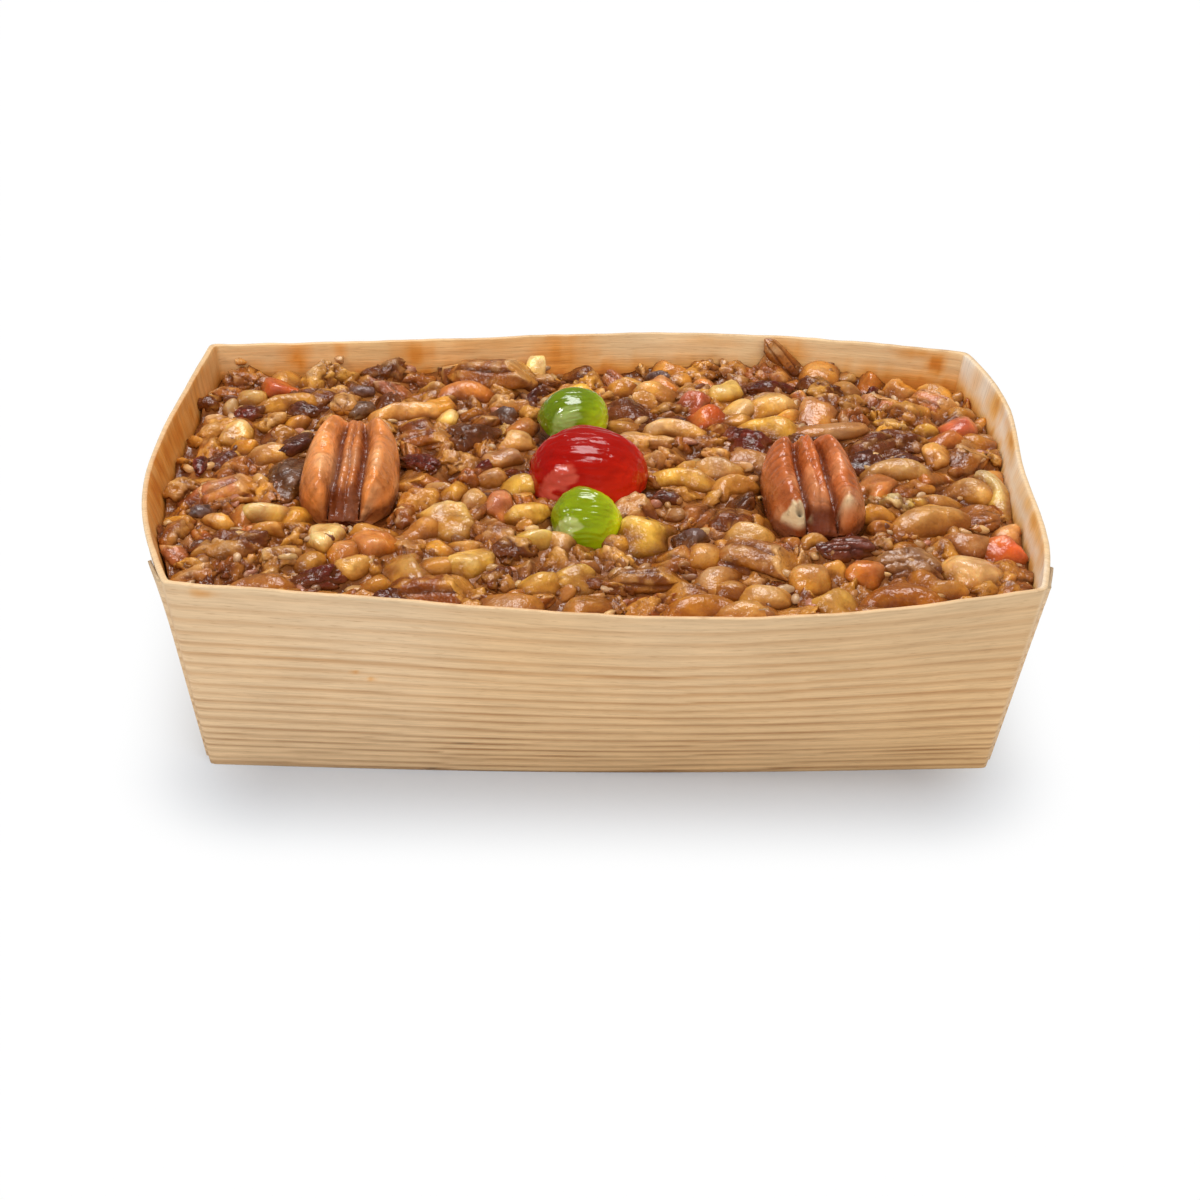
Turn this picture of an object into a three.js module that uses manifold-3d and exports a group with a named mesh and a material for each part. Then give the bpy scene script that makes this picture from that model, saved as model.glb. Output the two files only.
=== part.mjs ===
// An uncut fruit-and-nut loaf cake in the folded wood-veneer case that it was baked in,
// dressed with two pecan halves, one red and two green glace cherry halves.
// Units are millimetres. +X runs along the loaf, +Y to its back, +Z up. The origin is on the
// surface the case stands on, under the middle of the bounding box.
import * as THREE from 'three';
import { mergeVertices } from 'three/addons/utils/BufferGeometryUtils.js';
import Module from 'manifold-3d';

const wasm = await Module();
wasm.setup();

// ---------------------------------------------------------------- driving dimensions
// The case is a sheet of veneer folded up round a flat bottom. Its four walls lean outwards,
// and each bows outwards more and more towards the rim, because only the corners hold it.
const RIM_LENGTH = 145; // fold to fold along X
const RIM_WIDTH = 95; // fold to fold along Y
const WALL_LEAN = 5.8; // how far each wall leans out from base to rim at a corner
const CASE_HEIGHT = 38.2;
const VENEER = 0.9; // thickness of the folded veneer
const RIM_DROP = 0.15; // a bowed wall leans more, so its rim drops by this much of the bow
const BASE_BOW = 2.0; // the long walls already bow a little at the base
// How far each rim bows out: one half-wave over the wall, then a full wave and three half-waves
// that shift it towards one end. Front and back run along +X, left and right along +Y.
const RIM_BOW = {
  front: [7.8, -1.6, 0],
  right: [4.6, -0.6, 1.2],
  back: [10.2, -3.0, 0],
  left: [6.8, 0.8, 0],
};
// Each long wall ends in tabs that are glued round the corner, on the outside of the end walls.
const TAB_LENGTH = 11; // at the rim
const TAB_LENGTH_AT_BASE = 7;
const TAB_SPREAD = 1.0; // how far its free corner stands off the end wall
const TAB_BITE = 0.15; // how far its glued root sinks into the end wall

const CLEARANCE = 0.35; // left between separate pieces that lie against each other

const WALL_STEPS = { front: 11, right: 7, back: 11, left: 7 }; // facets along each wall
const LEVEL_STEPS = 5; // facets from the floor up to the rim

// The cake: its crumb ends below the rim, and the nuts and fruit stand out of it.
const CRUMB_LEVEL = 4; // the crumb meets the walls at this one of the wall's levels
const CRUMB_CROWN = 2.6; // how much higher the crumb is in the middle
const NUTS_ABOVE_CRUMB = 4.0; // how far the top pieces stand out of the crumb
const FILL_TRIES = 2600; // places tried for the pieces that have none of their own
const FILL_SIZE = [9.6, 12.2]; // length of such a piece
const FILL_SEED = 20;
const SLIVER = 0.2; // facets thinner than this are merged into their neighbours
const CROWDING = 0.87; // how close two pieces lie, as a share of their two half sizes

// ---------------------------------------------------------------- small helpers
const lerp = (a, b, t) => a + (b - a) * t;
const wave = (amplitudes, u) =>
  amplitudes.reduce((sum, amplitude, i) => sum + amplitude * Math.sin((i + 1) * Math.PI * u), 0);

/** A repeatable stream of numbers in 0..1 (a small multiply-and-xor generator). */
function randomStream(seed) {
  let state = seed >>> 0;
  return () => {
    state = (state + 0x6d2b79f5) >>> 0;
    let value = Math.imul(state ^ (state >>> 15), 1 | state);
    value = (value + Math.imul(value ^ (value >>> 7), 61 | value)) ^ value;
    return ((value ^ (value >>> 14)) >>> 0) / 4294967296;
  };
}

/**
 * A closed mesh from rings of equal length, with a pole point closing each end. Each facet's
 * diagonal climbs to the next point round, so a face and its inset copy run alike.
 */
function loftRings(rings, firstPole, lastPole) {
  const count = rings[0].length;
  const positions = [...rings.flat(), firstPole, lastPole].flatMap((p) => [p.x, p.y, p.z]);
  const first = rings.length * count;
  const index = [];
  for (let i = 0; i < count; i += 1) {
    const j = (i + 1) % count;
    index.push(first, j, i);
    for (let k = 0; k + 1 < rings.length; k += 1) {
      const a = k * count;
      const b = a + count;
      const climbs = rings[k + 1][0].z >= rings[k][0].z;
      if (climbs) index.push(a + i, a + j, b + j, a + i, b + j, b + i);
      else index.push(a + i, a + j, b + i, a + j, b + j, b + i);
    }
    const last = (rings.length - 1) * count;
    index.push(first + 1, last + i, last + j);
  }
  const geometry = new THREE.BufferGeometry();
  geometry.setAttribute('position', new THREE.Float32BufferAttribute(positions, 3));
  geometry.setIndex(index);
  return geometry;
}

/** The solid of a closed mesh, moved by a matrix. */
function toSolid(geometry, matrix = new THREE.Matrix4()) {
  const bare = geometry.clone().applyMatrix4(matrix);
  bare.deleteAttribute('normal');
  bare.deleteAttribute('uv');
  const merged = mergeVertices(bare, 1e-4);
  return new wasm.Manifold(new wasm.Mesh({
    numProp: 3,
    vertProperties: new Float32Array(merged.attributes.position.array),
    triVerts: new Uint32Array(merged.index.array),
  }));
}

/** The mesh of a solid. */
function toGeometry(solid) {
  const mesh = solid.getMesh();
  const geometry = new THREE.BufferGeometry();
  geometry.setAttribute('position', new THREE.Float32BufferAttribute(mesh.vertProperties, 3));
  geometry.setIndex(Array.from(mesh.triVerts));
  return geometry;
}

/** The largest connected body of a solid, with no loose scraps and no sealed hollow in it. */
function mainBody(solid) {
  const bodies = solid.decompose();
  bodies.sort((a, b) => b.volume() - a.volume());
  return bodies[0];
}

// ---------------------------------------------------------------- the case
/** How far a wall bows out at u along it, at a level from 0 (base) to 1 (rim). */
function bowAt(wall, u, level) {
  const atBase = wall === 'front' || wall === 'back' ? BASE_BOW * Math.sin(Math.PI * u) : 0;
  return lerp(atBase, wave(RIM_BOW[wall], u), level);
}

/** A point on a wall's outer face, or inset from it. */
function wallPoint(wall, u, level, inset) {
  const halfLength = RIM_LENGTH / 2 - WALL_LEAN * (1 - level) - inset;
  const halfWidth = RIM_WIDTH / 2 - WALL_LEAN * (1 - level) - inset;
  const bow = bowAt(wall, u, level);
  const z = level * (CASE_HEIGHT - RIM_DROP * bow);
  const alongX = lerp(-halfLength, halfLength, u);
  const alongY = lerp(-halfWidth, halfWidth, u);
  if (wall === 'front') return new THREE.Vector3(alongX, -halfWidth - bow, z);
  if (wall === 'back') return new THREE.Vector3(alongX, halfWidth + bow, z);
  if (wall === 'right') return new THREE.Vector3(halfLength + bow, alongY, z);
  return new THREE.Vector3(-halfLength - bow, alongY, z);
}

/** One closed ring round all four walls, anticlockwise seen from above. */
function wallRing(level, inset) {
  const ring = [];
  for (const wall of ['front', 'right', 'back', 'left']) {
    const forward = wall === 'front' || wall === 'right';
    const steps = WALL_STEPS[wall];
    for (let i = 0; i < steps; i += 1) {
      ring.push(wallPoint(wall, forward ? i / steps : 1 - i / steps, level, inset));
    }
  }
  return ring;
}

/** The level of the k-th ring of the walls' inner face, from the floor (0) to the rim. */
const innerLevel = (k) => lerp(VENEER / CASE_HEIGHT, 1, k / LEVEL_STEPS);

/** The folded shell: outer face up to the rim, inner face down to the floor. */
function shellSolid() {
  const rings = [];
  for (let k = 0; k <= LEVEL_STEPS; k += 1) rings.push(wallRing(k / LEVEL_STEPS, 0));
  for (let k = LEVEL_STEPS; k >= 0; k -= 1) rings.push(wallRing(innerLevel(k), VENEER));
  return toSolid(loftRings(rings, new THREE.Vector3(0, 0, 0), new THREE.Vector3(0, 0, VENEER)));
}

/** One tab: a strip on the outside of an end wall that starts at a corner. */
function tabSolid(wall, corner) {
  const sections = [];
  const across = 2;
  for (let i = 0; i <= across; i += 1) {
    const section = [];
    const faces = [[0, 1], [1, 0]]; // inner face upwards, then outer face downwards
    for (const [outer, startTop] of faces) {
      for (let k = 0; k <= LEVEL_STEPS; k += 1) {
        const level = lerp(0.04, 1, startTop ? k / LEVEL_STEPS : 1 - k / LEVEL_STEPS);
        const reach = (lerp(TAB_LENGTH_AT_BASE, TAB_LENGTH, level) / RIM_WIDTH) * (i / across);
        const stand = -TAB_BITE + (TAB_SPREAD + TAB_BITE) * (i / across) * level + outer * VENEER;
        section.push(wallPoint(wall, corner === 'front' ? reach : 1 - reach, level, -stand));
      }
    }
    sections.push(section);
  }
  const middle = (section) =>
    section.reduce((sum, p) => sum.add(p), new THREE.Vector3()).divideScalar(section.length);
  const strip = toSolid(loftRings(sections, middle(sections[0]), middle(sections[across])));
  if (strip.volume() > 0) return strip;
  return toSolid(loftRings(sections.reverse(), middle(sections[0]), middle(sections[across])));
}

function caseGeometry() {
  const tabs = [];
  for (const wall of ['left', 'right']) {
    for (const corner of ['front', 'back']) tabs.push(tabSolid(wall, corner));
  }
  return toGeometry(mainBody(wasm.Manifold.union([shellSolid(), ...tabs])));
}

// ---------------------------------------------------------------- pecan and cherry halves
/**
 * A shelled pecan half, flat side down, lying along Y. Across it the top is an arch with a
 * deep groove on each side of the narrow middle ridge; along it the arch shrinks to both ends.
 */
function pecanHalf({ length, width, height }, grow = 0) {
  const sections = [];
  const alongSteps = 12;
  const acrossSteps = 16;
  const grooveAt = 0.2;
  const grooveDepth = 0.42;
  for (let i = 1; i < alongSteps; i += 1) {
    const u = lerp(-1, 1, i / alongSteps);
    const swell = Math.sqrt(1 - Math.abs(u) ** 2.5) * (1 - 0.07 * u);
    const halfWidth = (width / 2) * swell + grow;
    const arch = height * (0.35 + 0.65 * swell) + grow;
    const section = [];
    for (let k = 0; k <= acrossSteps; k += 1) {
      const v = lerp(-1, 1, k / acrossSteps);
      const groove = grow ? 0 : grooveDepth * Math.exp(-(((Math.abs(v) - grooveAt) / 0.09) ** 2));
      const z = arch * Math.sqrt(Math.max(0, 1 - Math.abs(v) ** 2.2)) * (1 - groove * swell);
      section.push(new THREE.Vector3(halfWidth * v, (length / 2 + grow) * u, z - grow));
    }
    for (let k = acrossSteps - 1; k >= 1; k -= 3) {
      const v = lerp(-1, 1, k / acrossSteps);
      section.push(new THREE.Vector3(halfWidth * v * 0.9, (length / 2 + grow) * u, -1.2 - grow));
    }
    sections.push(section);
  }
  const tip = (side) => new THREE.Vector3(0, side * (length / 2 + grow), height * 0.1 - grow);
  return loftRings(sections, tip(-1), tip(1));
}

/** A glace cherry half: a flat cut face below and a full, slightly flattened dome above. */
function cherryHalf({ length, width, height }, grow = 0) {
  const rings = [];
  const round = 20;
  const rise = 6;
  const lip = 0.22; // the cut face curls in a little under the widest line
  for (let k = 0; k <= rise; k += 1) {
    const angle = lerp(-0.5, Math.PI / 2, k / (rise + 1));
    const radius = Math.abs(Math.cos(angle)) ** 0.85;
    const z = angle < 0 ? lip * height * Math.sin(angle) : height * Math.sin(angle);
    const ring = [];
    for (let i = 0; i < round; i += 1) {
      const turn = (2 * Math.PI * i) / round;
      const dent = 1 + 0.02 * Math.sin(3 * turn + 1) + 0.015 * Math.sin(5 * turn);
      ring.push(new THREE.Vector3(
        (length / 2 + grow) * radius * dent * Math.cos(turn),
        (width / 2 + grow) * radius * dent * Math.sin(turn),
        z + (angle < 0 ? -grow : grow * Math.sin(angle)),
      ));
    }
    rings.push(ring);
  }
  const under = rings[0][0].z;
  return loftRings(rings, new THREE.Vector3(0, 0, under), new THREE.Vector3(0, 0, height + grow));
}

// Where each of the five large toppings lies: the middle of its flat face, its size, how it is
// turned about +Z and how far its top is tipped forwards, in degrees.
const DECOR = {
  pecan_left: {
    form: pecanHalf, size: { length: 31, width: 17.7, height: 8.2 },
    at: [-43.8, -3.0, CASE_HEIGHT - 4.0], turn: -3, tip: 5, colour: 0x9c4f24, roughness: 0.4,
  },
  pecan_right: {
    form: pecanHalf, size: { length: 29, width: 17.9, height: 8.2 },
    at: [37.4, -8.2, CASE_HEIGHT - 4.0], turn: 4, tip: 5, colour: 0x9a4a22, roughness: 0.4,
  },
  cherry_red: {
    form: cherryHalf, size: { length: 21.2, width: 20.2, height: 8.6 },
    at: [-2.0, -3.2, CASE_HEIGHT - 2.6], turn: -4, tip: 6, colour: 0xb3140c, roughness: 0.15,
  },
  cherry_green_back: {
    form: cherryHalf, size: { length: 12.9, width: 12.6, height: 6.2 },
    at: [-4.1, 17.8, CASE_HEIGHT - 1.4], turn: 10, tip: 8, colour: 0x4f9a12, roughness: 0.15,
  },
  cherry_green_front: {
    form: cherryHalf, size: { length: 12.2, width: 13.4, height: 5.4 },
    at: [-2.6, -18.6, CASE_HEIGHT - 3.6], turn: -4, tip: 36, colour: 0x6fb81a, roughness: 0.15,
  },
};

/** The matrix that puts a topping in its place. */
function decorMatrix({ at, turn, tip }) {
  const turned = new THREE.Matrix4().makeRotationZ(THREE.MathUtils.degToRad(turn));
  const tipped = new THREE.Matrix4().makeRotationX(THREE.MathUtils.degToRad(tip));
  return new THREE.Matrix4().makeTranslation(...at).multiply(turned).multiply(tipped);
}

/** The room that a topping needs, a little larger than itself. */
function decorRoom(name) {
  return toSolid(DECOR[name].form(DECOR[name].size, CLEARANCE), decorMatrix(DECOR[name]));
}

// ---------------------------------------------------------------- nuts and fruit in the top
// One lump per kind: how square it is (1 round, towards 0 square), how much it bends along its
// length, how uneven it is, and its height as a share of its width.
const KINDS = {
  walnut: { square: 0.9, bend: 0.05, uneven: 0.2, flat: 0.7 },
  cashew: { square: 0.9, bend: 0.55, uneven: 0.04, flat: 0.85 },
  macadamia: { square: 1.0, bend: 0, uneven: 0.04, flat: 0.9 },
  candied: { square: 0.55, bend: 0, uneven: 0.08, flat: 0.8 },
  raisin: { square: 0.95, bend: 0.1, uneven: 0.14, flat: 0.65 },
  sliver: { square: 0.7, bend: 0.1, uneven: 0.05, flat: 0.55 },
};

// The pieces that stand out most: kind, x, y, length, width, turn about +Z in degrees.
const MAIN_PIECES = [
  ['walnut', -73.5, -20, 12, 7.5, 80], ['walnut', -63.5, -24, 11, 9, 15],
  ['walnut', -65, -4, 9, 7.5, 10], ['raisin', -54.8, -1.5, 16, 7, 78],
  ['walnut', -57, -39, 11, 7, 10], ['candied', -58.4, -12.7, 7, 6, 20],
  ['raisin', -48.5, -37, 8.5, 6, 0], ['candied', -47.9, -25.6, 7, 6, 70],
  ['candied', -39, -27.2, 6.5, 6, 30], ['walnut', -51.2, 40.5, 9, 7, 20],
  ['cashew', -35.1, 24.1, 12, 5, 15], ['cashew', -57, 29.5, 10, 4.5, 10],
  ['walnut', -28, -41, 14, 9.5, 0], ['macadamia', -27.1, -18.2, 9, 8, 0],
  ['raisin', -31, 4.2, 11, 6, -50], ['walnut', -19, 40, 13, 9.5, -15],
  ['walnut', -24.4, 30.5, 10, 6.5, 10], ['raisin', -22.3, 16, 10, 9.5, 30],
  ['macadamia', -13, -15.6, 7.5, 6.5, 0], ['macadamia', 8.2, -21.4, 9, 8.5, 0],
  ['raisin', 7, 26.4, 10, 8.5, 0], ['cashew', 15, -2.4, 10.5, 5, -15],
  ['walnut', 7.4, -43.5, 10, 6.5, 10], ['walnut', 16.2, -43.2, 11, 7, 5],
  ['candied', 19.7, 26, 12, 7, 80], ['walnut', 26.4, 13.3, 11.5, 8.5, -30],
  ['cashew', 31.5, 20, 12, 7, -10], ['macadamia', 25.1, 36.6, 7, 5.5, 80],
  ['walnut', 26.4, -30, 12.5, 9.5, -20], ['macadamia', 23.5, -46.2, 10, 7, 0],
  ['macadamia', 38.4, -45, 10, 8, 0], ['raisin', 41.4, -27.3, 9, 6, 10],
  ['raisin', 51.7, -31, 10, 8.5, 0], ['cashew', 55.4, -15.6, 15, 7, 25],
  ['cashew', 53.6, 4, 10.5, 6, 5], ['sliver', 43.3, 18.2, 12.5, 5, 8],
  ['walnut', 60.6, 28.5, 11, 9, -10], ['candied', 66.6, 24.8, 7, 6, 30],
  ['walnut', 66.5, 10.8, 8, 6.5, 60], ['cashew', 69.3, -3.5, 16, 5, -80],
  ['walnut', 63.2, -30.2, 13, 11, 40], ['candied', 68.6, -23.2, 7, 6, 20],
];

const CRUMB_EDGE = CASE_HEIGHT * innerLevel(CRUMB_LEVEL);

/** How high the crumb stands at a point, without the nuts. */
function crumbHeight(x, y) {
  const fall = Math.max((x / (RIM_LENGTH / 2)) ** 2, (y / (RIM_WIDTH / 2)) ** 2);
  return CRUMB_EDGE + CRUMB_CROWN * (1 - Math.min(1, fall));
}

/** One nut or fruit piece: a round form reshaped by its kind, unevened by a few seeded waves. */
function lumpSolid(round, [kind, x, y, length, width, turnDegrees], random) {
  const { square, bend, uneven, flat } = KINDS[kind];
  const geometry = round.clone();
  geometry.deleteAttribute('normal');
  geometry.deleteAttribute('uv');
  const lump = mergeVertices(geometry, 1e-4);
  const phases = [random() * 6, random() * 6, random() * 6];
  const spot = lump.attributes.position;
  const height = width * flat;
  for (let i = 0; i < spot.count; i += 1) {
    const p = new THREE.Vector3().fromBufferAttribute(spot, i);
    const swell = 1 + uneven * (Math.sin(4 * p.x + phases[0]) + Math.sin(5 * p.y + phases[1])
      + Math.sin(4 * p.z + phases[2]));
    const reshape = (value) => Math.sign(value) * Math.abs(value) ** square;
    const along = reshape(p.x) * swell;
    spot.setXYZ(
      i,
      (length / 2) * along,
      (width / 2) * reshape(p.y) * swell - bend * width * (along * along - 0.4),
      (height / 2) * reshape(p.z) * swell,
    );
  }
  const sink = Math.min(height / 2, height - NUTS_ABOVE_CRUMB);
  const place = new THREE.Matrix4()
    .makeTranslation(x, y, crumbHeight(x, y) + height / 2 - sink - 0.3 * random())
    .multiply(new THREE.Matrix4().makeRotationZ(THREE.MathUtils.degToRad(turnDegrees)))
    .multiply(new THREE.Matrix4().makeRotationX(0.3 * (random() - 0.5)));
  return toSolid(lump, place);
}

/** Every piece of the top: the main ones, then others wherever a seeded draw leaves room. */
function topPieces() {
  const random = randomStream(FILL_SEED);
  const taken = MAIN_PIECES.map(([, x, y, length, width]) => [x, y, (length + width) / 4]);
  for (const { at, size } of Object.values(DECOR)) {
    taken.push([at[0], at[1], Math.min(size.length, size.width) * 0.45]);
    if (size.length > 1.4 * size.width) {
      for (const side of [-1, 1]) taken.push([at[0], at[1] + side * size.length * 0.27, 6]);
    }
  }
  const round = new THREE.OctahedronGeometry(1, 1);
  const pieces = MAIN_PIECES.map((row) => lumpSolid(round, row, random));
  const kinds = ['walnut', 'walnut', 'cashew', 'macadamia', 'candied', 'raisin', 'sliver'];
  for (let i = 0; i < FILL_TRIES; i += 1) {
    const x = lerp(-RIM_LENGTH / 2, RIM_LENGTH / 2, random()) * 1.04;
    const y = lerp(-RIM_WIDTH / 2, RIM_WIDTH / 2, random()) * 1.1;
    const kind = kinds[Math.floor(random() * kinds.length)];
    const length = lerp(...FILL_SIZE, random());
    const turn = 180 * random();
    const reach = length * 0.43;
    const free = taken.every(([tx, ty, tr]) => Math.hypot(x - tx, y - ty) > CROWDING * (tr + reach));
    if (!free || !insideRim(x, y, reach * 0.7)) continue;
    taken.push([x, y, reach]);
    const width = length * lerp(0.65, 0.85, random());
    pieces.push(lumpSolid(round, [kind, x, y, length, width, turn], random));
  }
  return pieces;
}

/** Whether a point lies inside the rim by at least a margin. */
function insideRim(x, y, margin) {
  const u = x / RIM_LENGTH + 0.5;
  const v = y / RIM_WIDTH + 0.5;
  const level = innerLevel(CRUMB_LEVEL);
  const leanIn = WALL_LEAN * (1 - level);
  const reachX = (wall) => RIM_LENGTH / 2 - leanIn - margin + bowAt(wall, v, level);
  const reachY = (wall) => RIM_WIDTH / 2 - leanIn - margin + bowAt(wall, u, level);
  return x < reachX('right') && x > -reachX('left') && y < reachY('back') && y > -reachY('front');
}

// ---------------------------------------------------------------- the cake
/** The rings of the cake's side, clear of the case, from its floor up to a level. */
function cakeRings(lastLevel) {
  const rings = [];
  for (let k = 0; k <= lastLevel; k += 1) {
    const lift = k === 0 ? CLEARANCE / CASE_HEIGHT : 0;
    rings.push(wallRing(innerLevel(k) + lift, VENEER + CLEARANCE));
  }
  return rings;
}

/** All the room inside the case, carried on upwards past the rim. */
function cavitySolid() {
  const rings = cakeRings(LEVEL_STEPS + 1);
  const low = rings[0][0].z;
  const high = rings[LEVEL_STEPS + 1][0].z;
  return toSolid(loftRings(rings, new THREE.Vector3(0, 0, low), new THREE.Vector3(0, 0, high)));
}

/** The crumb: the case's own form up to a gently crowned top. */
function crumbSolid() {
  const rings = cakeRings(CRUMB_LEVEL);
  const edge = rings[CRUMB_LEVEL];
  for (const share of [0.92, 0.75, 0.5, 0.25]) {
    rings.push(edge.map((p) => {
      const [x, y] = [p.x * share, p.y * share];
      return new THREE.Vector3(x, y, crumbHeight(x, y));
    }));
  }
  const low = new THREE.Vector3(0, 0, rings[0][0].z);
  return toSolid(loftRings(rings, low, new THREE.Vector3(0, 0, crumbHeight(0, 0))));
}

function loafGeometry() {
  const nuts = wasm.Manifold.union(topPieces()).simplify(SLIVER).intersect(cavitySolid());
  let cake = crumbSolid().add(nuts);
  for (const name of Object.keys(DECOR)) cake = cake.subtract(decorRoom(name));
  return toGeometry(mainBody(cake.simplify(SLIVER / 10)));
}

// ---------------------------------------------------------------- putting it together
/** A named mesh with its own finish. */
function piece(name, geometry, colour, roughness) {
  const material = new THREE.MeshStandardMaterial({ color: colour, roughness, metalness: 0 });
  const mesh = new THREE.Mesh(geometry, material);
  mesh.name = name;
  return mesh;
}

/** A topping, its middle at its own place; the green ones give way where the red one lies. */
function decorPiece(name) {
  const { form, size, at, turn, tip, colour, roughness } = DECOR[name];
  let geometry = form(size);
  if (name.startsWith('cherry_green')) {
    const back = decorMatrix(DECOR[name]).invert();
    const solid = toSolid(geometry).subtract(decorRoom('cherry_red').transform(back.elements));
    geometry = toGeometry(mainBody(solid));
  }
  const mesh = piece(name, geometry, colour, roughness);
  mesh.position.set(...at);
  mesh.rotation.set(THREE.MathUtils.degToRad(tip), 0, THREE.MathUtils.degToRad(turn), 'ZYX');
  return mesh;
}

const cake = new THREE.Group();
cake.add(piece('case', caseGeometry(), 0xd8bd94, 0.75));
cake.add(piece('loaf', loafGeometry(), 0xa8692f, 0.35));
for (const name of Object.keys(DECOR)) cake.add(decorPiece(name));

// The bows differ from wall to wall, so the whole is moved to bring its middle over the origin.
cake.updateMatrixWorld(true);
const middle = new THREE.Box3().setFromObject(cake, true).getCenter(new THREE.Vector3());
cake.position.set(-middle.x, -middle.y, 0);

const part = new THREE.Group();
part.add(cake);
export default part;
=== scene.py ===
"""An uncut fruit-and-nut loaf cake in the folded wood-veneer case that it was baked in.

Lengths are millimetres until a mesh is made, and the frame's own metres from there on. The
plan of the case, cake and toppings is worked out about the middle of the case's folds, and
`frame_shift` brings it into the frame.
"""
import logging
import math
from collections.abc import Callable
from dataclasses import dataclass, field
from enum import Enum

import bpy
import numpy as np
from mathutils import Matrix, Vector


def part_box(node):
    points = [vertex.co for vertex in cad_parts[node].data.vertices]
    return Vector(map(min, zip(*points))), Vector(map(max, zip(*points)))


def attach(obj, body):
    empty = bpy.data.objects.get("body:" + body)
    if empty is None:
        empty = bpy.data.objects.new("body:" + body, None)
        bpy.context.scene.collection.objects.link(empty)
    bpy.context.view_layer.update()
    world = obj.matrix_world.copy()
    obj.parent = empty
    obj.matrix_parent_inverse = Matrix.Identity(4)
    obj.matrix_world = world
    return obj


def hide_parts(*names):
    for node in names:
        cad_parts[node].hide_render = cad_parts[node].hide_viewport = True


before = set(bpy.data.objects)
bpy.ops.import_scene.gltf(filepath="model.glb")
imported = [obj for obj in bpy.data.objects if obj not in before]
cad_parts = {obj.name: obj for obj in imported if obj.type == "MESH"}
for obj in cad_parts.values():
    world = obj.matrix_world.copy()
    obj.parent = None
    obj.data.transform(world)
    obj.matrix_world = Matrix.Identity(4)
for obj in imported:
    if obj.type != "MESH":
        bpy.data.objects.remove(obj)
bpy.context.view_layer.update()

MM = 0.001
Array = np.ndarray
Random = np.random.Generator

log = logging.getLogger("nut_cake")


# ------------------------------------------------------------------ numbers and noise
def blend(low: Array | float, high: Array | float, share: Array | float) -> Array:
    """Goes from low to high as share goes from 0 to 1: low + (high - low) * share."""
    return low + (high - low) * share


def smooth(low: float, high: float, value: Array) -> Array:
    """0 below low, 1 above high, and 3t^2 - 2t^3 between them."""
    t = np.clip((value - low) / (high - low), 0.0, 1.0)
    return t * t * (3.0 - 2.0 * t)


def bell(distance: Array, width: float) -> Array:
    """A bump of height 1 that falls off as exp(-(distance / width)^2)."""
    return np.exp(-((distance / width) ** 2))


def lattice_noise(points: Array, size: float, seed: int) -> Array:
    """Smooth noise from random values on a cubic lattice.

    The eight values at the corners of a point's cell are blended along each axis by
    6t^5 - 15t^4 + 10t^3.

    Args:
        points: places, (..., 3).
        size: edge of a lattice cell, in the points' unit.
        seed: which set of values.

    Returns:
        Values in -1..1, one for each point.
    """
    scaled = np.asarray(points, dtype=float) / size + 31.7 * (seed % 97)
    cell = np.floor(scaled).astype(np.int64)
    t = scaled - cell
    t = t * t * t * (t * (t * 6.0 - 15.0) + 10.0)
    total = np.zeros(scaled.shape[:-1])
    for corner in np.ndindex(2, 2, 2):
        key = (cell[..., 0] + corner[0]) * 73856093
        key ^= (cell[..., 1] + corner[1]) * 19349663
        key ^= (cell[..., 2] + corner[2]) * 83492791 + seed * 1013904223
        key = key.astype(np.uint32)
        key ^= key >> 16
        key *= np.uint32(0x7FEB352D)
        key ^= key >> 15
        key *= np.uint32(0x846CA68B)
        key ^= key >> 16
        weight = np.prod(np.where(corner, t, 1.0 - t), axis=-1)
        total += weight * (key / 2147483647.5 - 1.0)
    return total


def layered_noise(points: Array, size: float, seed: int, layers: int = 3) -> Array:
    """Lattice noise plus copies of half the size and half the height, back in about -1..1.

    Args:
        points: places, (..., 3).
        size: of the coarsest layer's cells.
        seed: of the coarsest layer.
        layers: how many.

    Returns:
        Heights of about -1 to 1.
    """
    heights = [0.5 ** k for k in range(layers)]
    parts = [h * lattice_noise(points, size * h, seed + k) for k, h in enumerate(heights)]
    return 1.35 * sum(parts) / sum(heights)


def flat_points(x: Array, y: Array, z: Array | float = 0.0) -> Array:
    """Stacks coordinates into points, (..., 3)."""
    return np.stack(np.broadcast_arrays(x, y, z), axis=-1).astype(float)


def turn_matrix(axis: int, degrees: float) -> Array:
    """The 3 x 3 matrix of a turn about one axis (0 is X, 1 is Y, 2 is Z).

    Args:
        axis: which axis.
        degrees: anticlockwise, seen against the axis.

    Returns:
        The matrix.
    """
    c, s = math.cos(math.radians(degrees)), math.sin(math.radians(degrees))
    first, second = (axis + 1) % 3, (axis + 2) % 3
    matrix = np.eye(3)
    matrix[first, first] = matrix[second, second] = c
    matrix[first, second], matrix[second, first] = -s, s
    return matrix


def blur(raster: Array, spread: float) -> Array:
    """Averages a raster with a bell of the given spread in cells, first down, then across.

    Args:
        raster: values of the cells.
        spread: of the bell, in cells.

    Returns:
        The new values.
    """
    reach = int(math.ceil(2.5 * spread))
    steps = np.arange(-reach, reach + 1)
    weights = bell(steps, spread * math.sqrt(2.0))
    weights /= weights.sum()
    for axis in (0, 1):
        padded = np.pad(raster, [(reach, reach) if k == axis else (0, 0) for k in (0, 1)], "edge")
        size = raster.shape[axis]
        raster = sum(
            w * np.take(padded, np.arange(k, k + size), axis=axis) for k, w in enumerate(weights)
        )
    return raster


def colour(red: float, green: float, blue: float) -> Array:
    """A colour given on the 0..255 screen scale, as linear light in 0..1."""
    screen = np.array([red, green, blue]) / 255.0
    return np.where(screen <= 0.04045, screen / 12.92, ((screen + 0.055) / 1.055) ** 2.4)


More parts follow.
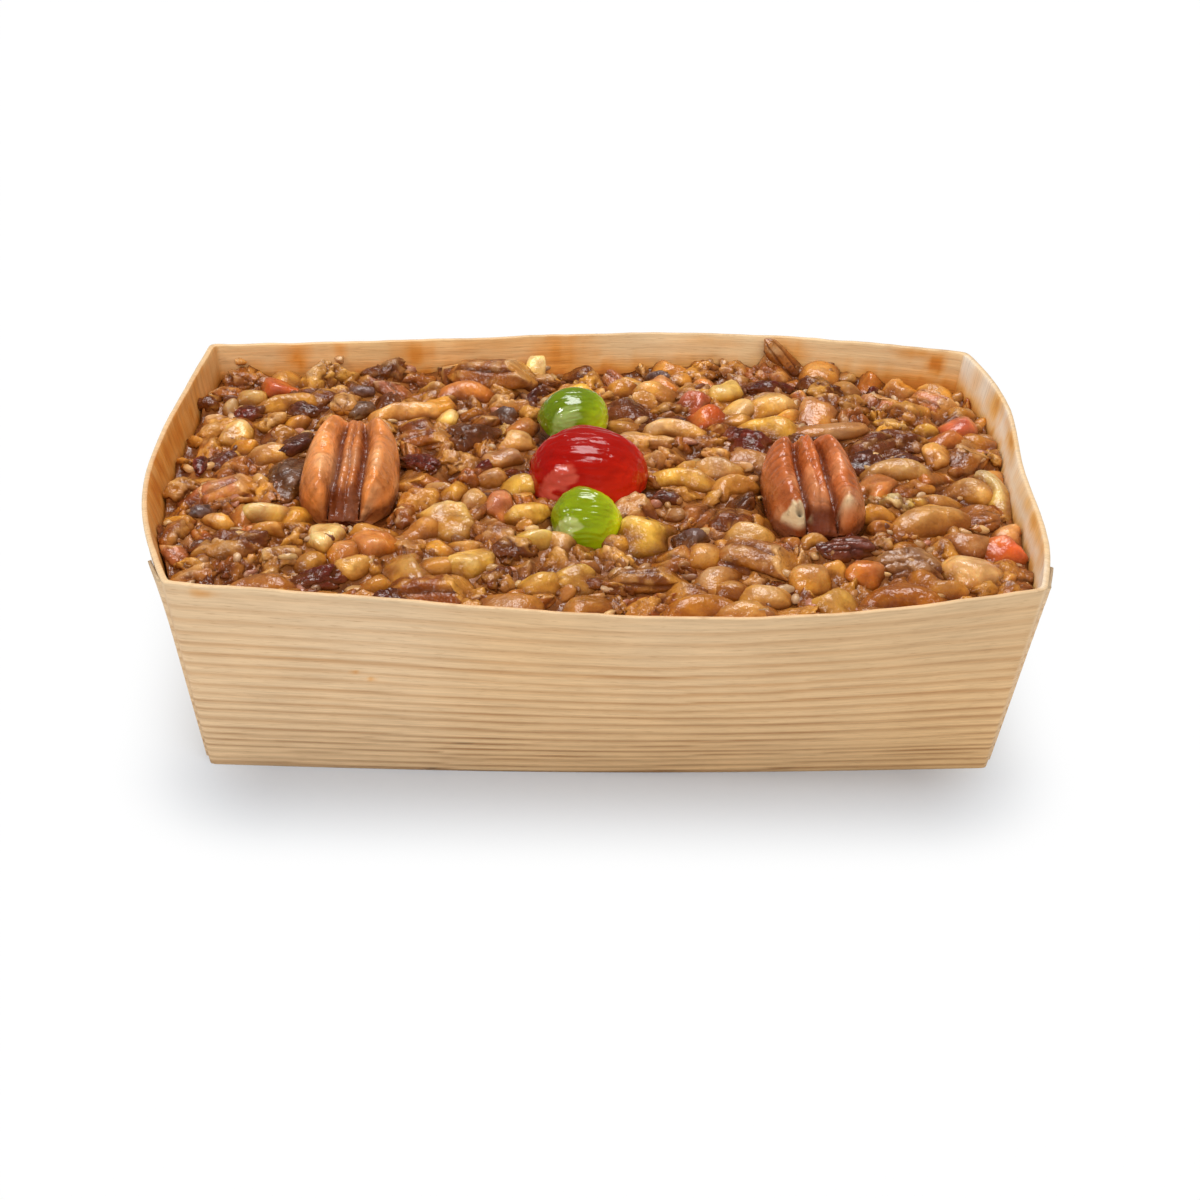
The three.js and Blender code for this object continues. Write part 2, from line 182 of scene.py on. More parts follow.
# ------------------------------------------------------------------ meshes
@dataclass
class Surface:
    """A closed surface as arrays, with what is painted on it.

    Attributes:
        points: places in mm, (n, 3).
        quads: corner numbers, (m, 4).
        triangles: corner numbers, (k, 3).
        paint: colour or value of each point, by attribute name.
        corner_uv: a place on the pattern for each corner of each face, quads first.
    """

    points: Array
    quads: Array
    triangles: Array
    paint: dict[str, Array] = field(default_factory=dict)
    corner_uv: Array | None = None

    def piece(self, name: str, finish: bpy.types.Material, node: str, slot: str) -> bpy.types.Object:
        """Makes the Blender object, in the place of a CAD node.

        Args:
            name: the piece's name.
            finish: its material.
            node: the CAD node that it replaces, alone or with others.
            slot: the record's material slot; not used.

        Returns:
            The object, at the origin, its place in its mesh.
        """
        mesh = bpy.data.meshes.new(name)
        corners = np.concatenate([self.quads.ravel(), self.triangles.ravel()]).astype(np.int32)
        sizes = np.repeat([4, 3], [len(self.quads), len(self.triangles)])
        starts = np.concatenate([[0], np.cumsum(sizes)[:-1]]).astype(np.int32)
        mesh.vertices.add(len(self.points))
        mesh.vertices.foreach_set("co", (self.points * MM).astype(np.float32).ravel())
        mesh.loops.add(len(corners))
        mesh.loops.foreach_set("vertex_index", corners)
        mesh.polygons.add(len(sizes))
        mesh.polygons.foreach_set("loop_start", starts)
        mesh.update(calc_edges=True)
        mesh.polygons.foreach_set("use_smooth", np.ones(len(sizes), dtype=bool))
        for label, values in self.paint.items():
            if values.ndim == 1:
                layer = mesh.attributes.new(label, "FLOAT", "POINT")
                layer.data.foreach_set("value", values.astype(np.float32))
            else:
                layer = mesh.attributes.new(label, "FLOAT_COLOR", "POINT")
                rgba = np.ones((len(values), 4), dtype=np.float32)
                rgba[:, :3] = values
                layer.data.foreach_set("color", rgba.ravel())
        if self.corner_uv is not None:
            layer = mesh.uv_layers.new(name="grain")
            layer.data.foreach_set("uv", self.corner_uv.astype(np.float32).ravel())
        mesh.materials.append(finish)
        made = bpy.data.objects.new(name, mesh)
        bpy.context.scene.collection.objects.link(made)
        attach(made, "root")
        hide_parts(node)
        return made


def join(surfaces: list[Surface]) -> Surface:
    """Puts several surfaces with the same paint into one, without welding them.

    Args:
        surfaces: the surfaces.

    Returns:
        One surface.
    """
    starts = np.cumsum([0] + [len(s.points) for s in surfaces])
    return Surface(
        np.concatenate([s.points for s in surfaces]),
        np.concatenate([s.quads + start for s, start in zip(surfaces, starts)]),
        np.concatenate([s.triangles + start for s, start in zip(surfaces, starts)]),
        {key: np.concatenate([s.paint[key] for s in surfaces]) for key in surfaces[0].paint},
    )


def loft_faces(rings: int, count: int) -> tuple[Array, Array]:
    """Faces of a surface of closed rings, with a pole before the first and after the last.

    The points are ring after ring, then the first pole, then the last one. The rings run
    anticlockwise seen against the way in which they are stacked.

    Args:
        rings: how many rings.
        count: points in a ring.

    Returns:
        Quads and triangles, as corner numbers.
    """
    ring = np.arange(rings - 1)[:, None] * count
    here = np.arange(count)[None, :]
    after = (here + 1) % count
    quads = np.stack([ring + here, ring + after, ring + count + after, ring + count + here], -1)
    first, last = rings * count, rings * count + 1
    top = (rings - 1) * count
    start_fan = np.stack([np.full(count, first), after[0], here[0]], -1)
    end_fan = np.stack([np.full(count, last), top + here[0], top + after[0]], -1)
    return quads.reshape(-1, 4), np.concatenate([start_fan, end_fan])


def ball(rings: int, count: int) -> Surface:
    """A unit ball with its poles at -X and +X: (cos a, sin a cos b, sin a sin b).

    Args:
        rings: how many rings between the poles.
        count: points in a ring.

    Returns:
        The ball.
    """
    polar = np.pi * (np.arange(rings) + 1) / (rings + 1)
    round_angle = 2.0 * np.pi * np.arange(count) / count
    x = -np.cos(polar)[:, None] * np.ones(count)
    y = np.sin(polar)[:, None] * np.cos(round_angle)
    z = np.sin(polar)[:, None] * np.sin(round_angle)
    points = np.concatenate([flat_points(x, y, z).reshape(-1, 3), [[-1, 0, 0], [1, 0, 0]]])
    quads, triangles = loft_faces(rings, count)
    return Surface(points, quads, triangles)


# ------------------------------------------------------------------ colours seen on the cake
class Tone(Enum):
    """Colours of nuts, fruit and syrup, on the 0..255 screen scale."""

    CREAM = (246, 220, 172)
    BUTTER = (242, 204, 136)
    HONEY = (222, 172, 108)
    AMBER = (196, 138, 80)
    TAN = (204, 152, 94)
    BEIGE = (214, 172, 128)
    TOFFEE = (184, 122, 64)
    WALNUT = (162, 102, 50)
    CHESTNUT = (124, 68, 36)
    COCOA = (118, 66, 34)
    PLUM = (110, 58, 44)
    MAROON = (118, 44, 30)
    MAUVE = (170, 128, 102)
    SLATE = (120, 92, 86)
    CORAL = (206, 108, 80)
    ORANGE = (214, 146, 90)
    ROSE = (198, 128, 98)
    FLESH = (226, 184, 136)
    SYRUP = (178, 106, 44)
    # The darkest syrup: partly its own colour, partly painted shade in the depths between the pieces.
    BURNT = (112, 58, 22)
    PECAN = (240, 146, 72)
    PECAN_RED = (196, 102, 46)
    # Pale patches on the pecan halves: partly wear, partly a painted highlight.
    PECAN_WORN = (242, 188, 134)
    PECAN_DARK = (104, 36, 12)
    CHERRY = (160, 12, 2)
    # CHERRY_GLOW, LIME and PALE_LIME are painted glow: the colour where light comes through a cherry.
    CHERRY_GLOW = (206, 38, 10)
    # This tone and the last two are painted highlights on the cherries, pale patches standing in for
    # reflections.
    CHERRY_SUGAR = (236, 112, 88)
    LEAF = (106, 128, 2)
    MOSS = (132, 150, 2)
    LIME = (200, 214, 10)
    PALE_LIME = (222, 234, 16)
    LEAF_SUGAR = (186, 204, 120)
    LIME_SUGAR = (216, 218, 150)

    def light(self) -> Array:
        """The tone as linear light."""
        return colour(*self.value)


# ------------------------------------------------------------------ finishes
class NodeSheet:
    """A short way to place and wire shader nodes on a material's or group's tree."""

    def __init__(self, tree: bpy.types.NodeTree) -> None:
        """Starts on an emptied tree."""
        self.tree = tree
        tree.nodes.clear()

    def feed(self, socket: bpy.types.NodeSocket, value: object) -> None:
        """Wires a socket in, or sets its constant.

        Args:
            socket: the input.
            value: an output to wire in, or the constant.
        """
        if isinstance(value, bpy.types.NodeSocket):
            self.tree.links.new(value, socket)
        else:
            socket.default_value = value

    def add(self, kind: str, settings: dict | None = None, **inputs: object) -> bpy.types.Node:
        """Places a node.

        Args:
            kind: the node's type, such as ShaderNodeBump.
            settings: properties of the node itself.
            inputs: what feeds each input, by its name with underscores for spaces.

        Returns:
            The node.
        """
        node = self.tree.nodes.new(kind)
        for key, value in (settings or {}).items():
            setattr(node, key, value)
        for key, value in inputs.items():
            self.feed(node.inputs[key.replace("_", " ")], value)
        return node

    def mix(self, share: object, first: object, second: object, mode: str = "MIX") -> object:
        """Mixes two colours.

        Args:
            share: of the second one.
            first: the first colour.
            second: the second colour.
            mode: how they are mixed.

        Returns:
            The mixed colour's socket.
        """
        node = self.add("ShaderNodeMix", {"data_type": "RGBA", "blend_type": mode})
        for number, value in ((0, share), (6, first), (7, second)):
            self.feed(node.inputs[number], value)
        return node.outputs[2]

    def math(self, operation: str, *values: object, vector: bool = False) -> object:
        """Does one sum.

        Args:
            operation: which one.
            values: what goes in.
            vector: whether these are vectors.

        Returns:
            The result's socket.
        """
        kind = "ShaderNodeVectorMath" if vector else "ShaderNodeMath"
        node = self.add(kind, {"operation": operation})
        for socket, value in zip(node.inputs, values):
            self.feed(socket, value)
        return node.outputs["Vector" if vector and operation != "LENGTH" else "Value"]

    def noise(self, place: object, scale: object, detail: float) -> object:
        """Places a noise and returns the socket of its value."""
        return self.add("ShaderNodeTexNoise", Vector=place, Scale=scale, Detail=detail).outputs["Fac"]

    def bump(self, height: object, depth: float) -> object:
        """Tilts the normal by a height of `depth` mm and returns the normal's socket."""
        node = self.add("ShaderNodeBump", Height=height, Strength=1.0, Distance=depth * MM)
        return node.outputs["Normal"]

    def shaded(self, base: object, levels: list) -> object:
        """Multiplies red, green and blue by three values and returns the colour's socket."""
        shade = self.add("ShaderNodeCombineXYZ", **dict(zip("XYZ", levels)))
        return self.mix(1.0, base, shade.outputs["Vector"], "MULTIPLY")

    def marked(self, base: object, noise: object, span: tuple, strength: object, by: tuple) -> object:
        """Darkens a colour where a noise rises through a span.

        Args:
            base: the colour.
            noise: the noise's value.
            span: values of the noise where the dark starts and where it is full.
            strength: share of the dark that is used.
            by: what the full dark multiplies the colour by.

        Returns:
            The result's socket.
        """
        mark = self.add("ShaderNodeMapRange", Value=noise, From_Min=span[0], From_Max=span[1])
        share = self.math("MULTIPLY", mark.outputs["Result"], strength)
        return self.mix(share, base, self.mix(1.0, base, by, "MULTIPLY"))


def new_material(name: str) -> tuple[bpy.types.Material, NodeSheet]:
    """Makes an empty material.

    Args:
        name: its name.

    Returns:
        The material and the sheet of its tree.
    """
    made = bpy.data.materials.new(name)
    made.use_nodes = True
    return made, NodeSheet(made.node_tree)


def new_group(name: str, inputs: dict[str, object], outputs: dict[str, str]) -> NodeSheet:
    """Makes a shader node group with named sockets.

    Args:
        name: the group's name.
        inputs: default of each input, by name: four numbers for a colour, one for a value.
        outputs: type of each output, by name.

    Returns:
        The sheet of the group's own tree.
    """
    tree = bpy.data.node_groups.new(name, "ShaderNodeTree")
    for label, default in inputs.items():
        kind = "NodeSocketFloat" if isinstance(default, float) else "NodeSocketColor"
        tree.interface.new_socket(label, in_out="INPUT", socket_type=kind).default_value = default
    for label, kind in outputs.items():
        tree.interface.new_socket(label, in_out="OUTPUT", socket_type=kind)
    return NodeSheet(tree)


# How much a light or dark patch changes red, green and blue: dark ones turn amber.
MOTTLE_BY_CHANNEL = (0.75, 1.1, 1.4)
GROUP_OUTPUTS = {"Color": "NodeSocketColor", "Height": "NodeSocketFloat"}


def food_skin_group() -> bpy.types.NodeTree:
    """The mottled, finely pitted skin of nuts, fruit and syrup.

    A broad noise lightens and darkens the colour, a finer one specks it, and the two
    together give the height of the skin.

    Returns:
        The group: Color, Mottle, Scale and Specks in, Color and Height out.
    """
    given = {"Color": (0.5, 0.3, 0.1, 1.0), "Mottle": 0.2, "Scale": 900.0, "Specks": 0.2}
    sheet = new_group("food_skin", given, GROUP_OUTPUTS)
    given = sheet.add("NodeGroupInput").outputs
    place = sheet.add("ShaderNodeTexCoord").outputs["Object"]
    fine = sheet.noise(place, given["Scale"], 3.0)
    broad = sheet.noise(place, sheet.math("MULTIPLY", given["Scale"], 0.3), 2.0)
    lift = sheet.math("MULTIPLY", sheet.math("SUBTRACT", broad, 0.5), 2.4)
    lift = sheet.math("MULTIPLY", lift, given["Mottle"])
    lifts = [sheet.math("MULTIPLY", lift, share) for share in MOTTLE_BY_CHANNEL]
    mottled = sheet.shaded(given["Color"], [sheet.math("ADD", each, 1.0) for each in lifts])
    specked = sheet.marked(mottled, fine, (0.56, 0.7), given["Specks"], (0.42, 0.34, 0.3, 1.0))
    height = sheet.math("ADD", fine, sheet.math("MULTIPLY", broad, 1.5))
    sheet.add("NodeGroupOutput", Color=specked, Height=height)
    return sheet.tree


def wood_fibre_group() -> bpy.types.NodeTree:
    """Fine fibres along the grain of veneer.

    The pattern's U runs along the grain and V across it, both in mm, so noise that is
    squeezed along U becomes fibres; a second, sparser one gives short dark vessels.

    Returns:
        The group: Color in, Color and Height out.
    """
    sheet = new_group("wood_fibre", {"Color": (0.7, 0.5, 0.3, 1.0)}, GROUP_OUTPUTS)
    given = sheet.add("NodeGroupInput").outputs
    pattern = sheet.add("ShaderNodeUVMap", {"uv_map": "grain"}).outputs["UV"]
    stretched = sheet.add("ShaderNodeMapping", Vector=pattern, Scale=(0.09, 2.6, 1.0))
    short = sheet.add("ShaderNodeMapping", Vector=pattern, Scale=(0.3, 5.0, 1.0))
    fibre = sheet.noise(stretched.outputs["Vector"], 1.0, 4.0)
    vessel = sheet.noise(short.outputs["Vector"], 1.0, 2.0)
    cloud = sheet.noise(pattern, 0.07, 2.0)
    lift = sheet.math("MULTIPLY", sheet.math("SUBTRACT", fibre, 0.5), 0.5)
    drift = sheet.math("MULTIPLY", sheet.math("SUBTRACT", cloud, 0.5), 0.16)
    level = sheet.math("ADD", sheet.math("ADD", lift, drift), 1.0)
    fibred = sheet.shaded(given["Color"], [level, level, level])
    veined = sheet.marked(fibred, vessel, (0.58, 0.74), 0.5, (0.62, 0.5, 0.4, 1.0))
    height = sheet.math("ADD", fibre, sheet.math("MULTIPLY", vessel, -0.6))
    sheet.add("NodeGroupOutput", Color=veined, Height=height)
    return sheet.tree


@dataclass(frozen=True)
class FoodFinish:
    """Nut, fruit or syrup: painted colour, mottled skin, a glaze over it.

    Attributes:
        name: the material's name.
        skin: the shared skin group.
        roughness: of the food under the glaze.
        coat: how much glaze.
        coat_roughness: how dull the glaze is.
        scatter: share of light that passes through the flesh.
        scatter_depth: how far it passes, in mm.
        mottle: strength of light and dark patches.
        specks: strength of dark specks.
        fineness: the skin's scale, per metre.
        depth: height of the skin's pits, in mm.
        shine: specular level, 0.5 for an index of 1.5.
    """

    name: str
    skin: bpy.types.NodeTree
    roughness: float
    coat: float
    coat_roughness: float = 0.1
    scatter: float = 0.0
    scatter_depth: float = 1.2
    mottle: float = 0.22
    specks: float = 0.2
    fineness: float = 900.0
    depth: float = 0.2
    shine: float = 0.5

    def material(self) -> bpy.types.Material:
        """Builds the material."""
        made, sheet = new_material(self.name)
        tint = sheet.add("ShaderNodeAttribute", {"attribute_name": "tint"}).outputs["Color"]
        given = {"Color": tint, "Mottle": self.mottle, "Scale": self.fineness, "Specks": self.specks}
        skin = sheet.add("ShaderNodeGroup", {"node_tree": self.skin}, **given).outputs
        shader = sheet.add(
            "ShaderNodeBsdfPrincipled",
            Base_Color=skin["Color"],
            Roughness=self.roughness,
            Specular_IOR_Level=self.shine,
            Normal=sheet.bump(skin["Height"], self.depth),
            Coat_Weight=self.coat,
            Coat_Roughness=self.coat_roughness,
            Subsurface_Weight=self.scatter,
            Subsurface_Scale=self.scatter_depth * MM,
            Subsurface_Radius=(1.0, 0.5, 0.25),
        )
        sheet.add("ShaderNodeOutputMaterial", Surface=shader.outputs["BSDF"])
        return made


@dataclass(frozen=True)
class VeneerFinish:
    """Bare softwood veneer, stained and glossy where syrup has soaked in.

    Attributes:
        fibre: the fibre group.
        roughness: of bare wood.
        stained_roughness: of wood full of syrup.
        fibre_depth: height of the fibres, in mm.
    """

    fibre: bpy.types.NodeTree
    roughness: float = 0.66
    stained_roughness: float = 0.36
    fibre_depth: float = 0.09

    def material(self) -> bpy.types.Material:
        """Builds the material."""
        made, sheet = new_material("veneer")
        tint = sheet.add("ShaderNodeAttribute", {"attribute_name": "tint"}).outputs["Color"]
        syrup = sheet.add("ShaderNodeAttribute", {"attribute_name": "syrup"}).outputs["Fac"]
        grain = sheet.add("ShaderNodeGroup", {"node_tree": self.fibre}, Color=tint).outputs
        drop = sheet.math("MULTIPLY", syrup, self.stained_roughness - self.roughness)
        shader = sheet.add(
            "ShaderNodeBsdfPrincipled",
            Base_Color=grain["Color"],
            Roughness=sheet.math("ADD", drop, self.roughness),
            Specular_IOR_Level=0.35,
            Normal=sheet.bump(grain["Height"], self.fibre_depth),
        )
        sheet.add("ShaderNodeOutputMaterial", Surface=shader.outputs["BSDF"])
        return made


# ------------------------------------------------------------------ the veneer case
class Wall(Enum):
    """The four walls, anticlockwise from above, with the way out through each."""

    FRONT = (0, -1)
    RIGHT = (1, 0)
    BACK = (0, 1)
    LEFT = (-1, 0)

    @property
    def is_long(self) -> bool:
        """Whether the wall runs along X."""
        return self.value[0] == 0


@dataclass(frozen=True)
class Stain:
    """A patch of baked-on syrup on a wall.

    Attributes:
        wall: the wall, on its inner face unless outside is set.
        along: its middle, as a share of the wall's length.
        level: its middle, as a share of the wall's height.
        length: half its length, in mm.
        height: half its height, in mm.
        strength: how dark it is, 0 to 1.
        outside: whether it is on the outer face.
    """

    wall: Wall
    along: float
    level: float
    length: float
    height: float
    strength: float = 0.8
    outside: bool = False


STAINS = [
    Stain(Wall.BACK, 0.105, 0.93, 3.6, 5.0, 0.85),
    Stain(Wall.BACK, 0.165, 0.97, 1.4, 2.6, 0.6),
    Stain(Wall.BACK, 0.26, 0.93, 5.0, 4.0, 0.75),
    Stain(Wall.BACK, 0.36, 0.97, 14.0, 2.2, 0.35),
    Stain(Wall.BACK, 0.46, 0.86, 8.0, 8.0, 0.75),
    Stain(Wall.BACK, 0.5, 0.78, 12.0, 4.0, 0.6),
    Stain(Wall.BACK, 0.66, 0.97, 8.0, 1.6, 0.35),
    Stain(Wall.BACK, 0.77, 0.9, 5.0, 5.0, 0.7),
    Stain(Wall.BACK, 0.945, 0.98, 7.0, 2.0, 0.7),
    Stain(Wall.BACK, 0.965, 0.93, 2.8, 4.6, 0.9),
    Stain(Wall.RIGHT, 0.93, 0.93, 3.0, 6.0, 0.45),
    Stain(Wall.RIGHT, 0.81, 0.95, 5.0, 5.0, 0.85),
    Stain(Wall.RIGHT, 0.62, 0.97, 11.0, 3.0, 0.85),
    Stain(Wall.RIGHT, 0.30, 0.97, 22.0, 3.0, 0.8),
    Stain(Wall.RIGHT, 0.16, 0.93, 7.0, 5.0, 0.5),
    # This stain over the whole left end wall is partly baked-on syrup and partly painted shade.
    Stain(Wall.LEFT, 0.50, 0.93, 60.0, 9.0, 0.85),
    Stain(Wall.FRONT, 0.50, 0.93, 80.0, 6.0, 0.7),
    Stain(Wall.FRONT, 0.045, 0.965, 2.8, 1.0, 0.6, outside=True),
    Stain(Wall.FRONT, 0.204, 0.57, 0.9, 0.5, 0.8, outside=True),
    Stain(Wall.FRONT, 0.222, 0.535, 0.8, 0.6, 0.7, outside=True),
]


@dataclass(frozen=True)
class CasePlan:
    """The folded case: four walls that lean out, and bow out most at the rim.

    Attributes:
        rim_length: fold to fold along X at the rim.
        rim_width: fold to fold along Y at the rim.
        lean: how far each wall leans out from base to rim.
        height: of the case at its corners.
        veneer: thickness of the sheet.
        rim_drop: share of the bow by which a bowed rim is lower.
        base_bow: bow of the long walls at the base.
        clearance: left between cake and case.
    """

    rim_length: float = 145.0
    rim_width: float = 95.0
    lean: float = 5.8
    height: float = 38.2
    veneer: float = 0.9
    rim_drop: float = 0.15
    base_bow: float = 2.0
    clearance: float = 0.35

    def rim_bow(self, wall: Wall) -> tuple[float, float, float]:
        """How far the rim bows out: one half-wave, two and three along the wall.

        Args:
            wall: the wall.

        Returns:
            The three waves' heights in mm.
        """
        bows = {
            Wall.FRONT: (7.8, -1.6, 0.0),
            Wall.RIGHT: (4.6, -0.6, 1.2),
            Wall.BACK: (10.2, -3.0, 0.0),
            Wall.LEFT: (6.8, 0.8, 0.0),
        }
        return bows[wall]

    def bow(self, wall: Wall, along: Array, level: Array | float) -> Array:
        """How far a wall bows out.

        At the rim it is the sum of a_k sin(k pi u), at the base base_bow sin(pi u) on the
        long walls and nothing on the short ones, and it grows evenly between them.

        Args:
            wall: the wall.
            along: share of its length.
            level: share of its height.

        Returns:
            The bow in mm.
        """
        at_rim = sum(
            a * np.sin((k + 1) * np.pi * along) for k, a in enumerate(self.rim_bow(wall))
        )
        at_base = self.base_bow * np.sin(np.pi * along) if wall.is_long else 0.0
        return blend(at_base, at_rim, level)

    def half_sides(self, level: Array | float, inset: Array | float = 0.0) -> tuple[Array, Array]:
        """Half the length and half the width between the folds at a level."""
        back = self.lean * (1.0 - level) + inset
        return self.rim_length / 2.0 - back, self.rim_width / 2.0 - back

    def on_wall(self, wall: Wall, along: Array, level: Array, inset: Array | float) -> Array:
        """Points on a wall, or inset from its outer face.

        The point lies on the straight line between the folds, moved out by the bow, at
        z = level * (height - rim_drop * bow).

        Args:
            wall: the wall.
            along: share of its length, along +X or +Y.
            level: share of its height.
            inset: how far inside its outer face.

        Returns:
            The points, (..., 3).
        """
        half_length, half_width = self.half_sides(level, inset)
        bow = self.bow(wall, along, level)
        z = level * (self.height - self.rim_drop * bow)
        out_x, out_y = wall.value
        if wall.is_long:
            return flat_points(blend(-half_length, half_length, along), out_y * (half_width + bow), z)
        return flat_points(out_x * (half_length + bow), blend(-half_width, half_width, along), z)

    def wall_length(self, wall: Wall) -> float:
        """Fold to fold along a wall at the rim."""
        return self.rim_length if wall.is_long else self.rim_width

    def limits(self, x: Array, y: Array, level: Array | float, inset: float) -> tuple:
        """Where the walls are, seen from some points.

        Args:
            x: the points' X.
            y: their Y.
            level: share of the case's height.
            inset: distance inside the outer faces.

        Returns:
            The left and right walls' X and the front and back walls' Y.
        """
        half_length, half_width = self.half_sides(level, inset)
        along_x = np.clip(x / self.rim_length + 0.5, 0.0, 1.0)
        along_y = np.clip(y / self.rim_width + 0.5, 0.0, 1.0)
        return (
            -half_length - self.bow(Wall.LEFT, along_y, level),
            half_length + self.bow(Wall.RIGHT, along_y, level),
            -half_width - self.bow(Wall.FRONT, along_x, level),
            half_width + self.bow(Wall.BACK, along_x, level),
        )

    def keep_inside(self, points: Array, margin: float = 0.1) -> Array:
        """Pushes points that lie in or beyond a wall back to a margin inside it.

        Args:
            points: places, (n, 3).
            margin: in mm.

        Returns:
            The points, moved.
        """
        x, y, z = points.T
        left, right, front, back = self.limits(x, y, z / self.height, self.veneer + margin)
        return flat_points(np.clip(x, left, right), np.clip(y, front, back), z)

    def room(self, x: Array | float, y: Array | float) -> Array:
        """How far points are inside the walls near the rim.

        Args:
            x: their X.
            y: their Y.

        Returns:
            The distance to the nearest inner face; less than 0 outside.
        """
        left, right, front, back = self.limits(x, y, 0.85, self.veneer)
        return np.minimum.reduce([x - left, right - x, y - front, back - y])


@dataclass
class Grain:
    """The veneer's growth lines: pale wood that darkens towards each line, then starts anew.

    Attributes:
        spacing: mean distance between lines, in mm.
        seed: which set of lines.
        wander: how far a line wanders from straight, in mm.
        low_pace: a, how much closer than the mean the lines are at the base.
        slowing: b, by which that falls off with height, per mm.
    """

    spacing: float = 2.1
    seed: int = 5
    wander: float = 0.9
    low_pace: float = 1.5
    slowing: float = 0.011

    def climb(self, height: Array) -> Array:
        """Place across the grain of a long wall: a h - b h^2, so lines are closer low down."""
        return self.low_pace * height - self.slowing * height**2

    def lines(self, run: Array, across: Array) -> Array:
        """How dark the growth line is.

        The place across the grain, shifted by slow noise, is looked up in a row of rings of
        uneven width; within a ring the wood darkens slowly and clears at once at its end.

        Args:
            run: place along the grain, in mm.
            across: place across the grain, in mm.

        Returns:
            0 in pale wood to 1 in the line.
        """
        random = np.random.default_rng(self.seed)
        widths = self.spacing * random.uniform(0.72, 1.28, 220)
        edges = np.cumsum(widths) - widths.sum() / 2.0
        shifted = across + self.wander * lattice_noise(flat_points(run / 55.0, across / 14.0), 1.0, 3)
        shifted += 0.16 * lattice_noise(flat_points(run / 9.0, across / 5.0), 1.0, 4)
        ring = np.clip(np.searchsorted(edges, shifted) - 1, 0, len(edges) - 2)
        share = (shifted - edges[ring]) / (edges[ring + 1] - edges[ring])
        dark = smooth(0.38, 0.84, share) * (1.0 - smooth(0.88, 1.0, share))
        each = random.uniform(0.6, 1.0, 220)[ring]
        fade = 0.8 + 0.35 * lattice_noise(flat_points(run / 14.0, across / 4.0), 1.0, 8)
        return np.clip(dark * each * fade, 0.0, 1.0)


# Colour of the veneer where nothing shows it closely.
PLAIN_WOOD = colour(222, 184, 137)


